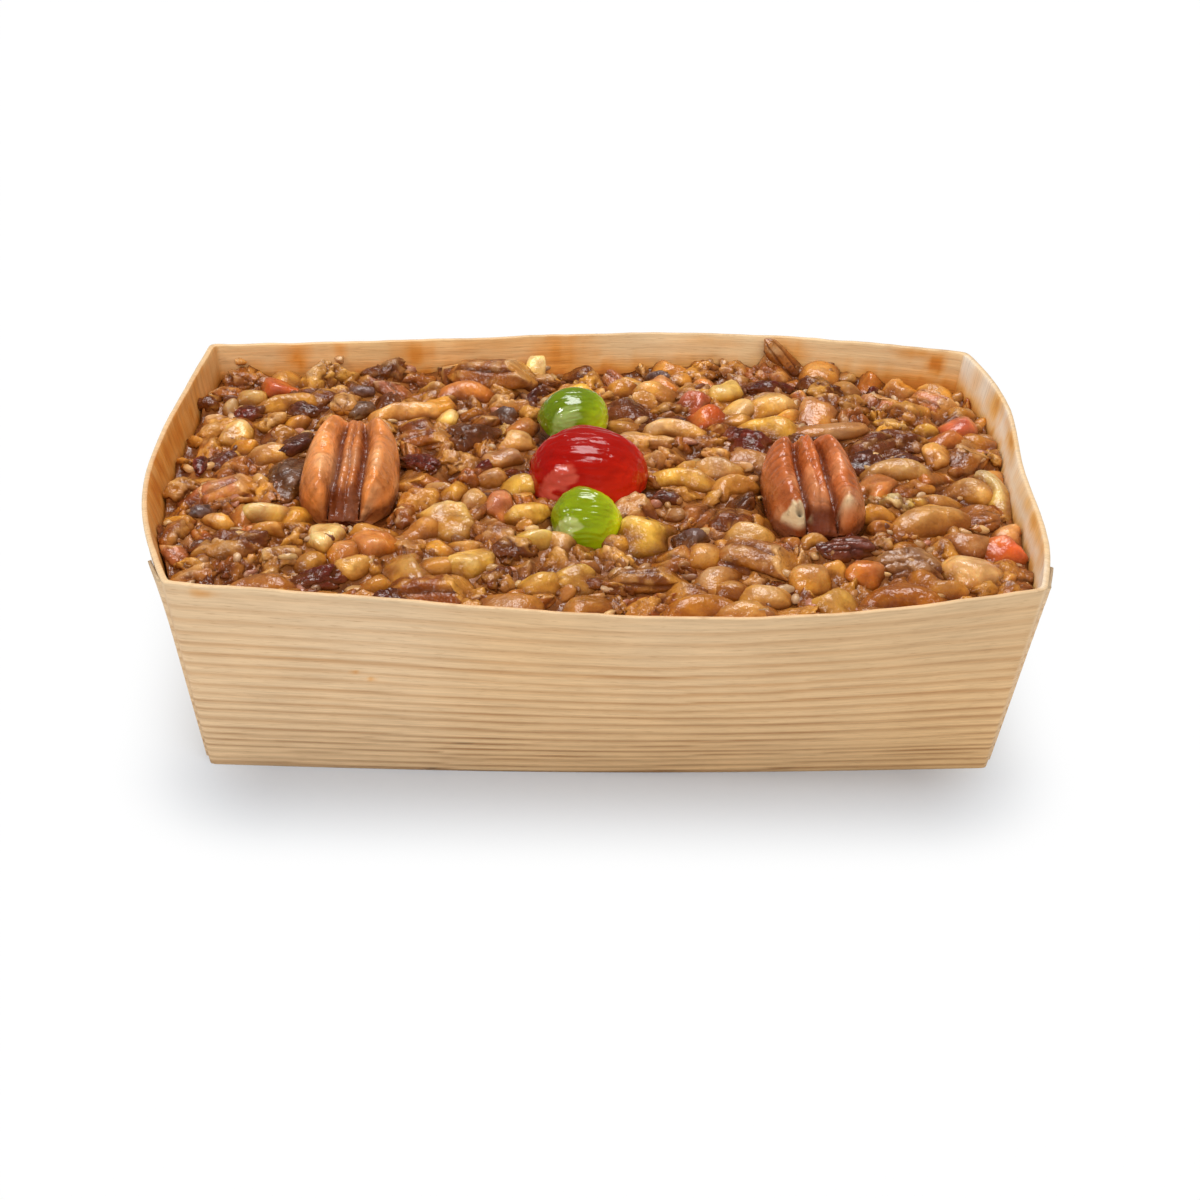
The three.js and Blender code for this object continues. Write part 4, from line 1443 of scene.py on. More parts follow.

# The pieces that stand out, from the left end to the right, each listed with its place.
MAIN_LUMPS = [
    Lump(W, -73.5, -20.0, 9.5, 8.0, 70, Tone.WALNUT, 0.5),
    Lump(W, -73.4, -3.0, 6.5, 5.0, 20, Tone.TAN),
    Lump(R, -71.0, 3.6, 5.5, 2.6, 80, Tone.MAROON, 0.3),
    Lump(W, -71.0, 31.0, 6.0, 5.0, 40, Tone.CHESTNUT),
    Lump(W, -69.5, 12.0, 7.0, 5.0, 70, Tone.TOFFEE),
    Lump(W, -68.9, 20.0, 7.5, 5.5, 70, Tone.TAN),
    Lump(W, -69.0, -35.0, 8.0, 6.0, 0, Tone.TOFFEE),
    Lump(R, -68.9, -12.9, 5.0, 3.6, 20, Tone.SLATE),
    Lump(R, -67.5, 6.3, 5.6, 4.6, 0, Tone.PLUM, 0.2),
    Lump(N, -66.0, -16.7, 5.0, 4.4, 0, Tone.HONEY),
    Lump(D, -65.3, 17.0, 6.0, 4.8, 75, Tone.BUTTER, 0.5),
    Lump(P, -65.0, -4.0, 9.5, 6.5, 12, Tone.ROSE, 0.3),
    Lump(D, -64.2, 33.4, 5.2, 4.2, 10, Tone.HONEY),
    Lump(R, -64.0, 26.0, 5.5, 4.8, 30, Tone.MAROON),
    Lump(W, -63.5, -24.6, 12.5, 8.5, 15, Tone.CHESTNUT, 0.6),
    Lump(N, -59.8, 8.9, 7.8, 6.6, 30, Tone.BEIGE, 0.2),
    Lump(W, -59.3, 23.5, 6.0, 5.0, 10, Tone.BEIGE),
    Lump(D, -58.4, 36.2, 6.6, 4.6, 0, Tone.CORAL, 0.3),
    Lump(D, -58.4, -12.7, 7.2, 6.0, 20, Tone.BUTTER, 0.4),
    Lump(C, -57.8, -40.2, 11.0, 6.5, 10, Tone.AMBER),
    Lump(D, -56.8, -19.6, 5.6, 5.0, 10, Tone.HONEY),
    Lump(C, -56.9, 30.0, 10.0, 4.6, 10, Tone.HONEY, 0.4),
    Lump(R, -54.9, -1.0, 13.5, 6.8, 80, Tone.SLATE, 0.4),
    Lump(R, -54.5, 12.0, 8.0, 5.0, 60, Tone.PLUM, 0.2),
    Lump(W, -54.0, -30.2, 8.0, 6.2, 30, Tone.TAN),
    Lump(W, -51.2, 41.0, 10.0, 7.6, 20, Tone.BEIGE, 2.0),
    Lump(R, -48.5, -37.2, 9.0, 5.6, 0, Tone.MAROON, 0.3),
    Lump(D, -47.9, -25.4, 6.6, 5.6, 70, Tone.BUTTER, 0.5),
    Lump(P, -45.9, 29.0, 8.5, 5.0, 85, Tone.AMBER, 0.8),
    Lump(R, -43.4, 34.6, 4.6, 3.8, 0, Tone.SLATE),
    Lump(R, -43.0, 25.6, 4.6, 4.2, 60, Tone.SLATE),
    Lump(D, -43.6, -29.8, 5.2, 4.6, 20, Tone.ORANGE, 0.2),
    Lump(N, -42.3, -34.0, 5.6, 4.8, 60, Tone.HONEY, 0.2),
    Lump(W, -41.9, -43.5, 7.6, 6.0, 20, Tone.AMBER),
    Lump(D, -38.6, -27.0, 7.0, 6.0, 35, Tone.ORANGE, 0.6),
    Lump(W, -38.7, 44.0, 8.0, 6.0, 30, Tone.COCOA, 1.8),
    Lump(C, -35.1, 24.3, 11.5, 5.0, 15, Tone.HONEY, 0.5),
    Lump(R, -31.5, 4.0, 10.0, 4.6, -52, Tone.MAROON, 0.2),
    Lump(W, -31.2, -10.3, 8.2, 5.4, 25, Tone.TAN, 0.2),
    Lump(P, -31.0, 13.5, 8.8, 5.0, -5, Tone.WALNUT, 0.2),
    Lump(D, -28.9, 26.8, 6.2, 5.2, 15, Tone.HONEY),
    Lump(P, -27.8, -41.0, 14.0, 9.2, -8, Tone.WALNUT, 0.9),
    Lump(N, -27.1, -18.4, 9.4, 7.8, -10, Tone.BUTTER, 0.8),
    Lump(N, -25.3, -8.6, 5.6, 4.0, 75, Tone.HONEY, 0.2),
    Lump(W, -24.8, 4.6, 7.6, 6.0, 10, Tone.TAN, 0.2),
    Lump(C, -24.4, 35.6, 9.6, 6.0, 10, Tone.ORANGE, 0.3),
    Lump(W, -22.6, -3.2, 6.2, 4.8, 10, Tone.TOFFEE),
    Lump(R, -22.4, 16.0, 10.0, 9.4, 35, Tone.COCOA, 0.7),
    Lump(N, -21.8, -12.0, 6.0, 4.2, 80, Tone.BEIGE, 0.2),
    Lump(P, -18.6, 43.0, 14.0, 9.6, -10, Tone.WALNUT, 3.0),
    Lump(N, -18.9, -3.0, 5.0, 4.2, 50, Tone.BEIGE),
    Lump(W, -18.2, -37.2, 7.0, 5.6, 80, Tone.COCOA),
    Lump(D, -17.6, -13.4, 6.6, 4.6, 85, Tone.ROSE, 0.1),
    Lump(D, -17.3, 5.4, 6.6, 5.6, 40, Tone.BEIGE, 0.2),
    Lump(R, -16.8, 23.4, 4.8, 4.4, 0, Tone.SLATE),
    Lump(W, -15.0, -27.5, 7.2, 5.8, 20, Tone.COCOA),
    Lump(N, -14.2, 11.6, 6.0, 5.0, 0, Tone.HONEY, 0.3),
    Lump(N, -13.8, -5.4, 6.6, 5.6, 60, Tone.BUTTER, 0.1),
    Lump(N, -12.8, -15.8, 7.2, 6.0, 0, Tone.BUTTER, 0.4),
    Lump(S, -10.6, 47.2, 7.2, 3.4, 80, Tone.BUTTER, 2.0, -30.0),
    Lump(D, -11.7, -24.6, 6.4, 5.0, 10, Tone.CREAM, 0.2),
    Lump(W, -11.5, 23.8, 5.2, 4.4, 60, Tone.BEIGE),
    Lump(N, -10.4, -39.2, 6.6, 5.2, 20, Tone.BUTTER, 0.3),
    Lump(W, -8.8, 43.0, 6.0, 5.0, 0, Tone.TOFFEE),
    Lump(N, -4.2, 35.2, 8.6, 6.6, 0, Tone.BUTTER, 0.4),
    Lump(N, -4.0, -37.4, 7.8, 5.6, 20, Tone.CREAM, 0.4),
    Lump(R, 6.7, 27.0, 10.0, 8.4, 0, Tone.COCOA, 0.4),
    Lump(P, 7.3, -37.4, 11.0, 4.8, 12, Tone.WALNUT, 0.2),
    Lump(W, 7.4, -45.4, 10.4, 6.2, 8, Tone.ROSE, 0.4),
    Lump(N, 7.9, -21.6, 9.2, 8.6, 0, Tone.BUTTER, 0.9),
    Lump(W, 8.2, 10.6, 11.0, 6.0, 10, Tone.TAN, 0.4),
    Lump(R, 11.5, -10.8, 4.6, 3.6, 0, Tone.PLUM),
    Lump(N, 12.1, 37.6, 7.4, 5.0, 0, Tone.BEIGE),
    Lump(R, 12.9, 46.6, 4.4, 3.6, 0, Tone.SLATE, 0.6),
    Lump(W, 14.0, 6.6, 6.4, 5.4, 40, Tone.TAN),
    Lump(C, 15.0, -2.4, 10.6, 5.2, -14, Tone.BUTTER, 0.5),
    Lump(R, 15.1, -24.6, 5.4, 4.6, 0, Tone.SLATE, 0.1),
    Lump(C, 15.2, 17.4, 10.6, 4.6, -8, Tone.BEIGE, 0.4),
    Lump(C, 15.9, -46.4, 11.6, 6.6, 8, Tone.HONEY, 0.5),
    Lump(N, 17.0, -30.0, 6.4, 5.6, 60, Tone.TAN, 0.3),
    Lump(C, 18.5, -37.6, 8.4, 6.0, 70, Tone.HONEY, 0.2),
    Lump(D, 18.7, 31.2, 6.4, 5.2, 60, Tone.CORAL, 0.2),
    Lump(D, 20.7, 23.6, 6.4, 5.8, 30, Tone.CORAL, 0.4),
    Lump(N, 21.2, 2.0, 8.0, 5.4, 0, Tone.TAN, 0.2),
    Lump(P, 22.8, -17.2, 8.0, 6.4, 80, Tone.CHESTNUT, 0.4),
    Lump(N, 22.9, -49.4, 11.2, 6.4, 4, Tone.BUTTER, 0.6),
    Lump(C, 23.4, -4.6, 8.0, 5.0, 40, Tone.BEIGE),
    Lump(N, 25.1, 36.9, 7.0, 5.6, 85, Tone.BUTTER, 0.6),
    Lump(R, 26.6, 13.0, 11.5, 8.2, -30, Tone.MAROON, 0.3),
    Lump(S, 26.5, -43.1, 7.2, 4.6, 0, Tone.CREAM),
    Lump(P, 26.8, -30.4, 12.6, 9.2, -20, Tone.TOFFEE, 0.9),
    Lump(C, 31.5, 19.7, 11.0, 6.6, -10, Tone.BUTTER, 0.6),
    Lump(C, 33.0, 30.2, 8.6, 6.0, 20, Tone.BUTTER, 0.6),
    Lump(R, 33.2, 40.8, 9.4, 5.0, 0, Tone.MAROON, 0.3),
    Lump(D, 34.5, -37.4, 6.4, 5.4, 20, Tone.HONEY, 0.5),
    Lump(P, 38.6, 53.4, 12.0, 3.8, -14, Tone.TOFFEE, 3.3, 38.0),
    Lump(N, -66.7, 46.4, 1.9, 1.6, 20, Tone.FLESH, 0.9),
    Lump(N, -47.9, 48.4, 2.0, 1.6, 70, Tone.FLESH, 0.9),
    Lump(W, 42.6, 39.5, 9.8, 7.4, 60, Tone.CHESTNUT, 0.8),
    Lump(R, 41.4, -27.4, 9.2, 5.2, 8, Tone.PLUM, 0.3),
    Lump(S, 43.3, 18.2, 12.4, 4.6, 8, Tone.TOFFEE, 0.3),
    Lump(N, 38.4, -46.0, 10.6, 8.2, 0, Tone.CREAM, 0.9),
    Lump(D, 44.3, -34.4, 5.6, 5.0, 60, Tone.ORANGE, 0.3),
    Lump(R, 44.4, -51.0, 4.2, 3.0, 0, Tone.PLUM),
    Lump(R, 48.0, 6.4, 7.2, 6.2, 0, Tone.PLUM),
    Lump(W, 48.5, 33.0, 6.0, 4.8, 0, Tone.TAN),
    Lump(N, 48.5, -13.4, 5.8, 5.0, 0, Tone.TAN, 0.2),
    Lump(C, 49.6, -42.6, 12.0, 7.0, 0, Tone.AMBER, 0.2),
    Lump(R, 51.7, -31.8, 10.4, 8.6, 0, Tone.MAUVE, 0.4),
    Lump(W, 52.7, -9.8, 6.2, 4.8, 0, Tone.CREAM, 0.2),
    Lump(C, 53.6, 4.0, 10.6, 5.4, 4, Tone.HONEY, 0.5),
    Lump(C, 56.2, -15.9, 15.0, 7.2, 26, Tone.AMBER, 0.7),
    Lump(D, 56.6, -47.4, 6.4, 4.8, 0, Tone.ROSE, 0.2),
    Lump(W, 57.2, 17.2, 9.6, 6.6, -10, Tone.CHESTNUT),
    Lump(W, 60.6, 28.8, 10.4, 8.4, -12, Tone.TAN, 0.6),
    Lump(N, 61.9, 10.4, 7.0, 4.8, 80, Tone.HONEY, 0.3),
    Lump(D, 63.2, -30.2, 12.4, 10.6, 40, Tone.HONEY, 0.9),
    Lump(P, 65.0, 36.4, 8.6, 4.4, -42, Tone.ROSE, 0.4),
    Lump(C, 66.0, -0.6, 8.6, 6.0, -10, Tone.HONEY, 0.1),
    Lump(R, 66.6, -14.4, 6.4, 5.0, 40, Tone.WALNUT, 0.1),
    Lump(P, 67.4, 11.2, 8.0, 6.0, 55, Tone.WALNUT, 0.4),
    Lump(D, 68.2, 24.8, 6.8, 5.8, 30, Tone.CORAL, 0.4),
    Lump(D, 69.0, -23.4, 7.2, 6.0, 20, Tone.CORAL, 0.3),
    Lump(W, 69.0, -38.4, 8.0, 6.0, 80, Tone.AMBER),
    Lump(C, 71.2, -3.2, 14.0, 4.6, -82, Tone.CREAM, 0.9),
]

# What fills the gaps: how often each kind is drawn, and the colours that it comes in.
FILL_KINDS = {
    W: (0.45, (Tone.TAN, Tone.TOFFEE, Tone.WALNUT, Tone.BEIGE, Tone.HONEY, Tone.TAN)),
    P: (0.18, (Tone.WALNUT, Tone.CHESTNUT, Tone.ROSE, Tone.TOFFEE)),
    C: (0.09, (Tone.HONEY, Tone.BEIGE, Tone.AMBER)),
    N: (0.10, (Tone.HONEY, Tone.BEIGE, Tone.TAN, Tone.BUTTER)),
    D: (0.07, (Tone.AMBER, Tone.HONEY, Tone.HONEY, Tone.ORANGE)),
    R: (0.07, (Tone.PLUM, Tone.COCOA, Tone.MAROON, Tone.COCOA, Tone.SLATE)),
    S: (0.10, (Tone.BEIGE, Tone.CREAM, Tone.TAN)),
}

# The passes that fill them: least and most length in mm, tries, and the least gap between two
# middles as a share of their two half sizes.
FILL_PASSES = (
    (8.2, 11.5, 4000, 0.74), (6.4, 8.4, 6000, 0.72), (4.8, 6.4, 6000, 0.72), (3.4, 4.6, 2500, 0.86),
)

# Rings and points in a ring of a lump longer than so many mm: with creases, and without.
LUMP_BALLS = ((8.5, (30, 44), (20, 30)), (5.4, (20, 30), (14, 22)), (0.0, (10, 15), (10, 15)))


# ------------------------------------------------------------------ toppings
@dataclass(frozen=True)
class Topping:
    """A large topping's place and size.

    Attributes:
        name: of its CAD node.
        length: along its own X, or along its own Y where it lies lengthways.
        width: the other way.
        height: from its flat face up.
        at: the middle of its flat face, before the shift into the frame.
        turn: about +Z, in degrees.
        tip: of its top towards the front, in degrees.
        lengthways: whether its length runs along its own Y, as a pecan's does.
    """

    name: str
    length: float
    width: float
    height: float
    at: tuple[float, float, float]
    turn: float
    tip: float
    lengthways: bool = False

    def place(self, points: Array, shift: Array) -> Array:
        """Tips, turns and moves local points to where the topping lies."""
        matrix = turn_matrix(2, self.turn) @ turn_matrix(0, self.tip)
        return points @ matrix.T + np.array(self.at) + shift

    def footprint(self, x: Array | float, y: Array | float) -> Array:
        """Where points are against the topping's outline seen from above, before the shift.

        Args:
            x: the points' X.
            y: their Y.

        Returns:
            Distance from the middle over the outline's: below 1 inside.
        """
        c, s = math.cos(math.radians(self.turn)), math.sin(math.radians(self.turn))
        dx, dy = x - self.at[0], y - self.at[1]
        own_x, own_y = c * dx + s * dy, -s * dx + c * dy
        size_x, size_y = (self.width, self.length) if self.lengthways else (self.length, self.width)
        lean = math.cos(math.radians(self.tip))
        return np.sqrt((own_x / (size_x / 2.0)) ** 2 + (own_y / (size_y / 2.0 * lean)) ** 2)


PECAN_LEFT = Topping("pecan_left", 31.0, 17.7, 8.2, (-43.8, -3.0, 34.2), -3.0, 5.0, True)
PECAN_RIGHT = Topping("pecan_right", 29.0, 17.9, 8.2, (37.4, -8.2, 34.2), 4.0, 5.0, True)
CHERRY_RED = Topping("cherry_red", 21.2, 20.2, 8.6, (-2.0, -3.2, 35.6), -4.0, 6.0)
CHERRY_BACK = Topping("cherry_green_back", 12.9, 12.6, 6.2, (-4.1, 17.8, 36.8), 10.0, 8.0)
CHERRY_FRONT = Topping("cherry_green_front", 12.2, 13.4, 5.4, (-2.6, -18.6, 34.6), -4.0, 36.0)
TOPPINGS = (PECAN_LEFT, PECAN_RIGHT, CHERRY_RED, CHERRY_BACK, CHERRY_FRONT)


@dataclass
class ToppingHalf:
    """What the pecan and cherry halves have in common.

    Attributes:
        topping: its place and size.
        finish: its material.
        shift: into the frame.
        slot: the record's material slot.
        seed: of its wrinkles or folds.
        wrinkle: their depth in mm.
    """

    topping: Topping
    finish: bpy.types.Material
    shift: Array
    slot: str
    seed: int
    wrinkle: float

    def dressed(self, points: Array, faces: tuple[Array, Array], tint: Array) -> bpy.types.Object:
        """Makes the piece, in the place of its CAD node.

        Args:
            points: its own points, before it is laid in place.
            faces: quads and triangles.
            tint: colour of each point.

        Returns:
            The piece.
        """
        surface = Surface(self.topping.place(points, self.shift), *faces, {"tint": tint})
        return surface.piece(f"{self.topping.name}_half", self.finish, self.topping.name, self.slot)


@dataclass
class PecanHalf(ToppingHalf):
    """A glazed pecan half, flat side down: two fat lobes and a narrow ridge between grooves.

    Attributes:
        ridge: height of the middle ridge, as a share of the lobes'.
        chipped: whether the front end of its left lobe is broken off.
        tone: colour of its skin.
        taper: how much narrower its front end is.
        wear_and_sheen: how pale its patches of wear are, 0 to 1; towards the front they also stand in for
            a painted highlight.
        rows: of points along it.
        around: points round it in each row.
        groove_at: where a groove lies, as a share of the half width.
        flat: height of a lobe, as a share of the half's.
    """

    ridge: float
    chipped: bool
    tone: Tone
    taper: float
    wear_and_sheen: float
    rows: int = 150
    around: int = 150
    groove_at: float = 0.27
    flat: float = 0.9

    def build(self) -> bpy.types.Object:
        """Makes the half.

        Seen from above its half width at u along it, -1 in front and 1 behind, is
        (1 - c |u|^2.7)^0.45, and each lobe's end is drawn back from its own middle, so that
        it ends round. Across it each lobe rises as (1 - (1 - w)^5)^0.5 from its groove and
        falls as (1 - w^2.3)^0.5 to its outer side; the ridge is an arch (1 - w^3)^0.5 that
        slopes down in front; they are joined by the sixth root of the sum of sixth powers,
        and close into one arch behind. Both ends fall as (1 - 0.98 w^2)^0.5. Wrinkles are
        noise stretched along the lobes and across them.

        Returns:
            The piece, in the place of its CAD node.
        """
        t = self.topping
        u = np.sin(np.linspace(-np.pi / 2.0, np.pi / 2.0, self.rows + 2)[1:-1])[:, None]
        angle = 2.0 * np.pi * np.arange(self.around)[None, :] / self.around
        v = -np.cos(angle)
        under = np.abs(np.minimum(np.sin(angle), 0.0))
        bite = np.where(u < 0.0, self.taper, 0.72)
        swell = (1.0 - bite * np.abs(u) ** 2.7) ** 0.45 * (1.0 - 0.05 * u) / 1.02
        parted = self.groove_at * (1.0 + 0.12 * smooth(-0.3, -1.0, u) - 0.35 * smooth(0.35, 1.0, u))
        fall_front = (1.0 - 0.98 * np.clip((-0.76 - u) / 0.24, 0.0, 1.0) ** 2) ** 0.5
        fall_behind = (1.0 - 0.98 * np.clip((u - 0.62) / 0.38, 0.0, 1.0) ** 2) ** 0.5
        place = flat_points(v * 5.0, u * 3.0, 0.0)
        soft = lattice_noise(place, 1.3, self.seed + 2)
        long_wrinkle = lattice_noise(flat_points(v / 0.1, u / 0.9, self.seed), 1.0, self.seed)
        side = np.abs(v * swell + 0.02 * np.sin(3.0 * u + self.seed))
        cross_wrinkle = lattice_noise(flat_points(v / 0.4, (u + 0.15 * side) / 0.062), 1.0, self.seed + 1)
        blotch = lattice_noise(flat_points(v / 0.3, u / 0.22, 3.0), 1.0, self.seed + 3)

        reach = (swell - parted) / 2.0 + 0.01
        in_lobe = np.clip((side - parted) / (2.0 * reach), 0.0, 1.0)
        lobe = 1.1 * ((1.0 - (1.0 - in_lobe) ** 5) * (1.0 - in_lobe**2.3)) ** 0.5 * (1.0 + 0.05 * soft)
        lobe = lobe * np.clip((swell - parted) / 0.52, 0.5, 1.0) ** 0.5
        slope = 1.0 - 0.7 * smooth(-0.5, -1.0, u)
        line = 0.13 * bell(v + 0.02 * np.sin(5.0 * u), 0.035)
        in_ridge = np.clip(side / (parted - 0.01), 0.0, 1.0)
        ridge = (self.ridge - line) * (1.0 - in_ridge**3) ** 0.5 * slope
        outline = np.maximum(0.0, 1.0 - np.abs(v) ** 2.4) ** 0.5
        profile = (lobe**6 + ridge**6 + (0.5 * slope * outline) ** 6) ** (1.0 / 6.0)
        profile = np.minimum(profile, 0.08 + 1.12 * outline)
        profile = blend(profile, 1.02 * outline**0.5, 0.85 * smooth(0.72, 0.97, u))
        relief = (0.12 * long_wrinkle + self.wrinkle * cross_wrinkle + 0.25 * soft) * outline * swell
        relief = relief + 0.22 * long_wrinkle * smooth(1.0, 0.8, side / parted)
        top = self.flat * t.height * fall_front * fall_behind * profile + relief
        pale, hole = self.chip(place, u, v)
        top = top - 1.3 * hole

        tip = np.clip(np.abs(side - 0.5 * (swell + parted)) / reach, 0.0, 1.4) ** 2
        drawn = np.where(u < 0.0, 0.05, 0.015) * t.length * tip * smooth(0.6, 1.0, np.abs(u))
        back = 0.7 * smooth(-0.66, -0.9, u) * smooth(1.2, 0.7, side / parted)
        back = back - np.sign(u) * drawn * (side > parted)
        x = t.width / 2.0 * swell * v * (1.0 - 0.1 * under)
        y = t.length / 2.0 * np.where(u < 0.0, 0.87 * u, u) + back
        z = np.where(np.sin(angle) >= 0.0, top, -1.2 * under**0.5)
        tips = np.array([[0.0, -0.435 * t.length + 1.6, -0.4], [0.0, t.length / 2.0, 0.4]])
        points = np.concatenate([flat_points(x, y, z).reshape(-1, 3), tips])
        quads, triangles = loft_faces(self.rows, self.around)

        # Painted shade, partly the darker skin there: the grooves, the low sides and the sunk middle are
        # painted dark.
        groove = smooth(0.82, 0.45, profile) * smooth(0.95, 0.75, np.abs(v))
        low = smooth(0.42, 0.16, z / t.height) * blend(0.3, 1.0, side > parted)
        sunk = smooth(1.1, 0.8, side / parted) * np.clip(1.3 * (1.0 - self.ridge), 0.0, 0.4)
        dark = np.clip(np.maximum(groove, 0.75 * low) + sunk * (1.0 + 0.6 * long_wrinkle), 0.0, 1.0)
        # Pale patches towards the front: partly wear, partly a painted highlight.
        wear_and_sheen = smooth(-0.1, 0.6, soft + 0.3 * long_wrinkle + 0.5 * blotch) * smooth(0.8, -0.4, u)
        # Painted shade and light: the skin is lighter where the swells and long wrinkles rise and darker
        # in the troughs of the cross wrinkles.
        skin = self.tone.light() * (1.0 + 0.14 * soft + 0.2 * long_wrinkle + 0.24 * blotch)[..., None]
        skin = blend(skin, Tone.PECAN_WORN.light(), self.wear_and_sheen * wear_and_sheen[..., None])
        skin = skin * (1.0 - 0.3 * np.maximum(-cross_wrinkle, 0.0))[..., None]
        paint = blend(skin, Tone.PECAN_DARK.light(), 0.88 * dark[..., None])
        pale = (pale * smooth(0.2, 0.4, z / t.height))[..., None]
        # The hole is painted dark, as shade.
        paint = blend(paint, Tone.CREAM.light(), 0.9 * pale) * (1.0 - 0.85 * hole)[..., None]
        paint = np.concatenate([paint.reshape(-1, 3), np.tile(Tone.PECAN_DARK.light(), (2, 1))])
        return self.dressed(points, (quads[:, ::-1], triangles[:, ::-1]), paint)

    def chip(self, place: Array, u: Array, v: Array) -> tuple[Array, Array]:
        """The broken end of the left lobe, with a small hole in it, and a pale patch beside.

        Args:
            place: where the noise of its edge is read.
            u: place along the half.
            v: place across it.

        Returns:
            How pale and how deep in the hole each point is, 0 to 1.
        """
        if not self.chipped:
            return np.zeros(place.shape[:-1]), np.zeros(place.shape[:-1])
        jag = 0.04 * lattice_noise(place, 0.4, 7)
        broken = smooth(-0.8, -0.86, u + jag) * smooth(-0.2, -0.3, v)
        patch = bell(np.hypot((v - 0.6) / 0.15, (u + 0.84) / 0.06), 1.0)
        hole = bell(np.hypot((v + 0.62) / 0.09, (u + 0.9) / 0.025), 1.0)
        return np.maximum(broken, 0.8 * patch), hole


@dataclass
class CherryHalf(ToppingHalf):
    """A glace cherry half: a glossy, see-through dome on a flat cut face.

    Attributes:
        deep: colour of its thick middle, away from the painted glow.
        bright: colour of the painted glow, which stands in for light that comes through it.
        glow: way to the side where the glow is painted, in its own X and Y.
        highlight: middle of its painted highlight, a pale patch that stands in for a reflection,
            as shares of its half length and width.
        highlight_tone: the painted highlight's colour.
        highlight_size: the painted highlight's size, as a share of the half length.
        rows: rings of points.
        around: points in a ring.
    """

    deep: Tone
    bright: Tone
    glow: tuple[float, float]
    sugar: tuple[float, float]
    highlight_tone: Tone
    highlight_size: float
    rows: int = 90
    around: int = 130

    def build(self) -> bpy.types.Object:
        """Makes the half.

        The radius is cos(a)^0.74 and the height sin(a), from just under the widest line to
        the top; the cut face closes it below. Fine folds are noise stretched along X.

        Returns:
            The piece, in the place of its CAD node.
        """
        t = self.topping
        a = np.linspace(-0.5, np.pi / 2.0, self.rows + 1)[:-1][:, None]
        b = 2.0 * np.pi * np.arange(self.around)[None, :] / self.around
        radius = np.abs(np.cos(a)) ** 0.74
        unit = flat_points(radius * np.cos(b), radius * np.sin(b), np.sin(a))
        dent = 1.0 + 0.02 * np.sin(3.0 * b + 1.0) + 0.015 * np.sin(5.0 * b)
        soft = lattice_noise(unit, 0.7, self.seed)
        fold = lattice_noise(unit * np.array([1.2, 4.0, 3.0]), 0.7, self.seed + 1)
        fine = lattice_noise(unit * np.array([2.4, 13.0, 9.0]), 0.8, self.seed + 2)
        lift = 0.3 * soft + 0.7 * self.wrinkle * fold + self.wrinkle * fine
        up = np.where(a < 0.0, 0.22, 0.96) * t.height * np.sin(a)
        x = unit[..., 0] * (t.length / 2.0 * dent + lift)
        y = unit[..., 1] * (t.width / 2.0 * dent + lift)
        grid = flat_points(x, y, up + lift * np.maximum(np.sin(a), 0.0))
        face = [grid[0] * [share, share, 1.0] for share in (0.3, 0.75)]
        stack = np.concatenate([np.stack(face), grid])
        poles = np.array([[0.0, 0.0, up[0, 0]], [0.0, 0.0, 0.965 * t.height + 0.14 * soft[-1, 0]]])
        points = np.concatenate([stack.reshape(-1, 3), poles])
        deep = self.deep.light()
        # Painted light: the side towards the glow and the low edge are painted bright, as light coming
        # through the fruit, and the folds lighter on their crests, as shade and light.
        toward = (unit[..., 0] * self.glow[0] + unit[..., 1] * self.glow[1]) / np.hypot(*self.glow)
        painted_glow = smooth(-0.2, 0.95, toward + 0.15 * soft) * smooth(1.25, 0.4, np.sin(a) + 0.1)
        paint = blend(deep, self.bright.light(), painted_glow[..., None]) * (1.0 + 0.12 * fold)[..., None]
        # Painted highlight: a pale patch that stands in for a reflection.
        off = np.hypot(0.8 * (unit[..., 0] - self.sugar[0]), 1.3 * (unit[..., 1] - self.sugar[1]))
        sugar = smooth(self.highlight_size, self.highlight_size - 0.1, off + 0.08 * fold + 0.08 * fine)
        paint = blend(paint, self.highlight_tone.light(), ((0.5 + 0.2 * fold) * sugar)[..., None])
        paint = np.concatenate([paint[:1], paint[:1], paint]).reshape(-1, 3)
        paint = np.concatenate([paint, [deep, deep]])
        return self.dressed(points, loft_faces(len(stack), self.around), paint)


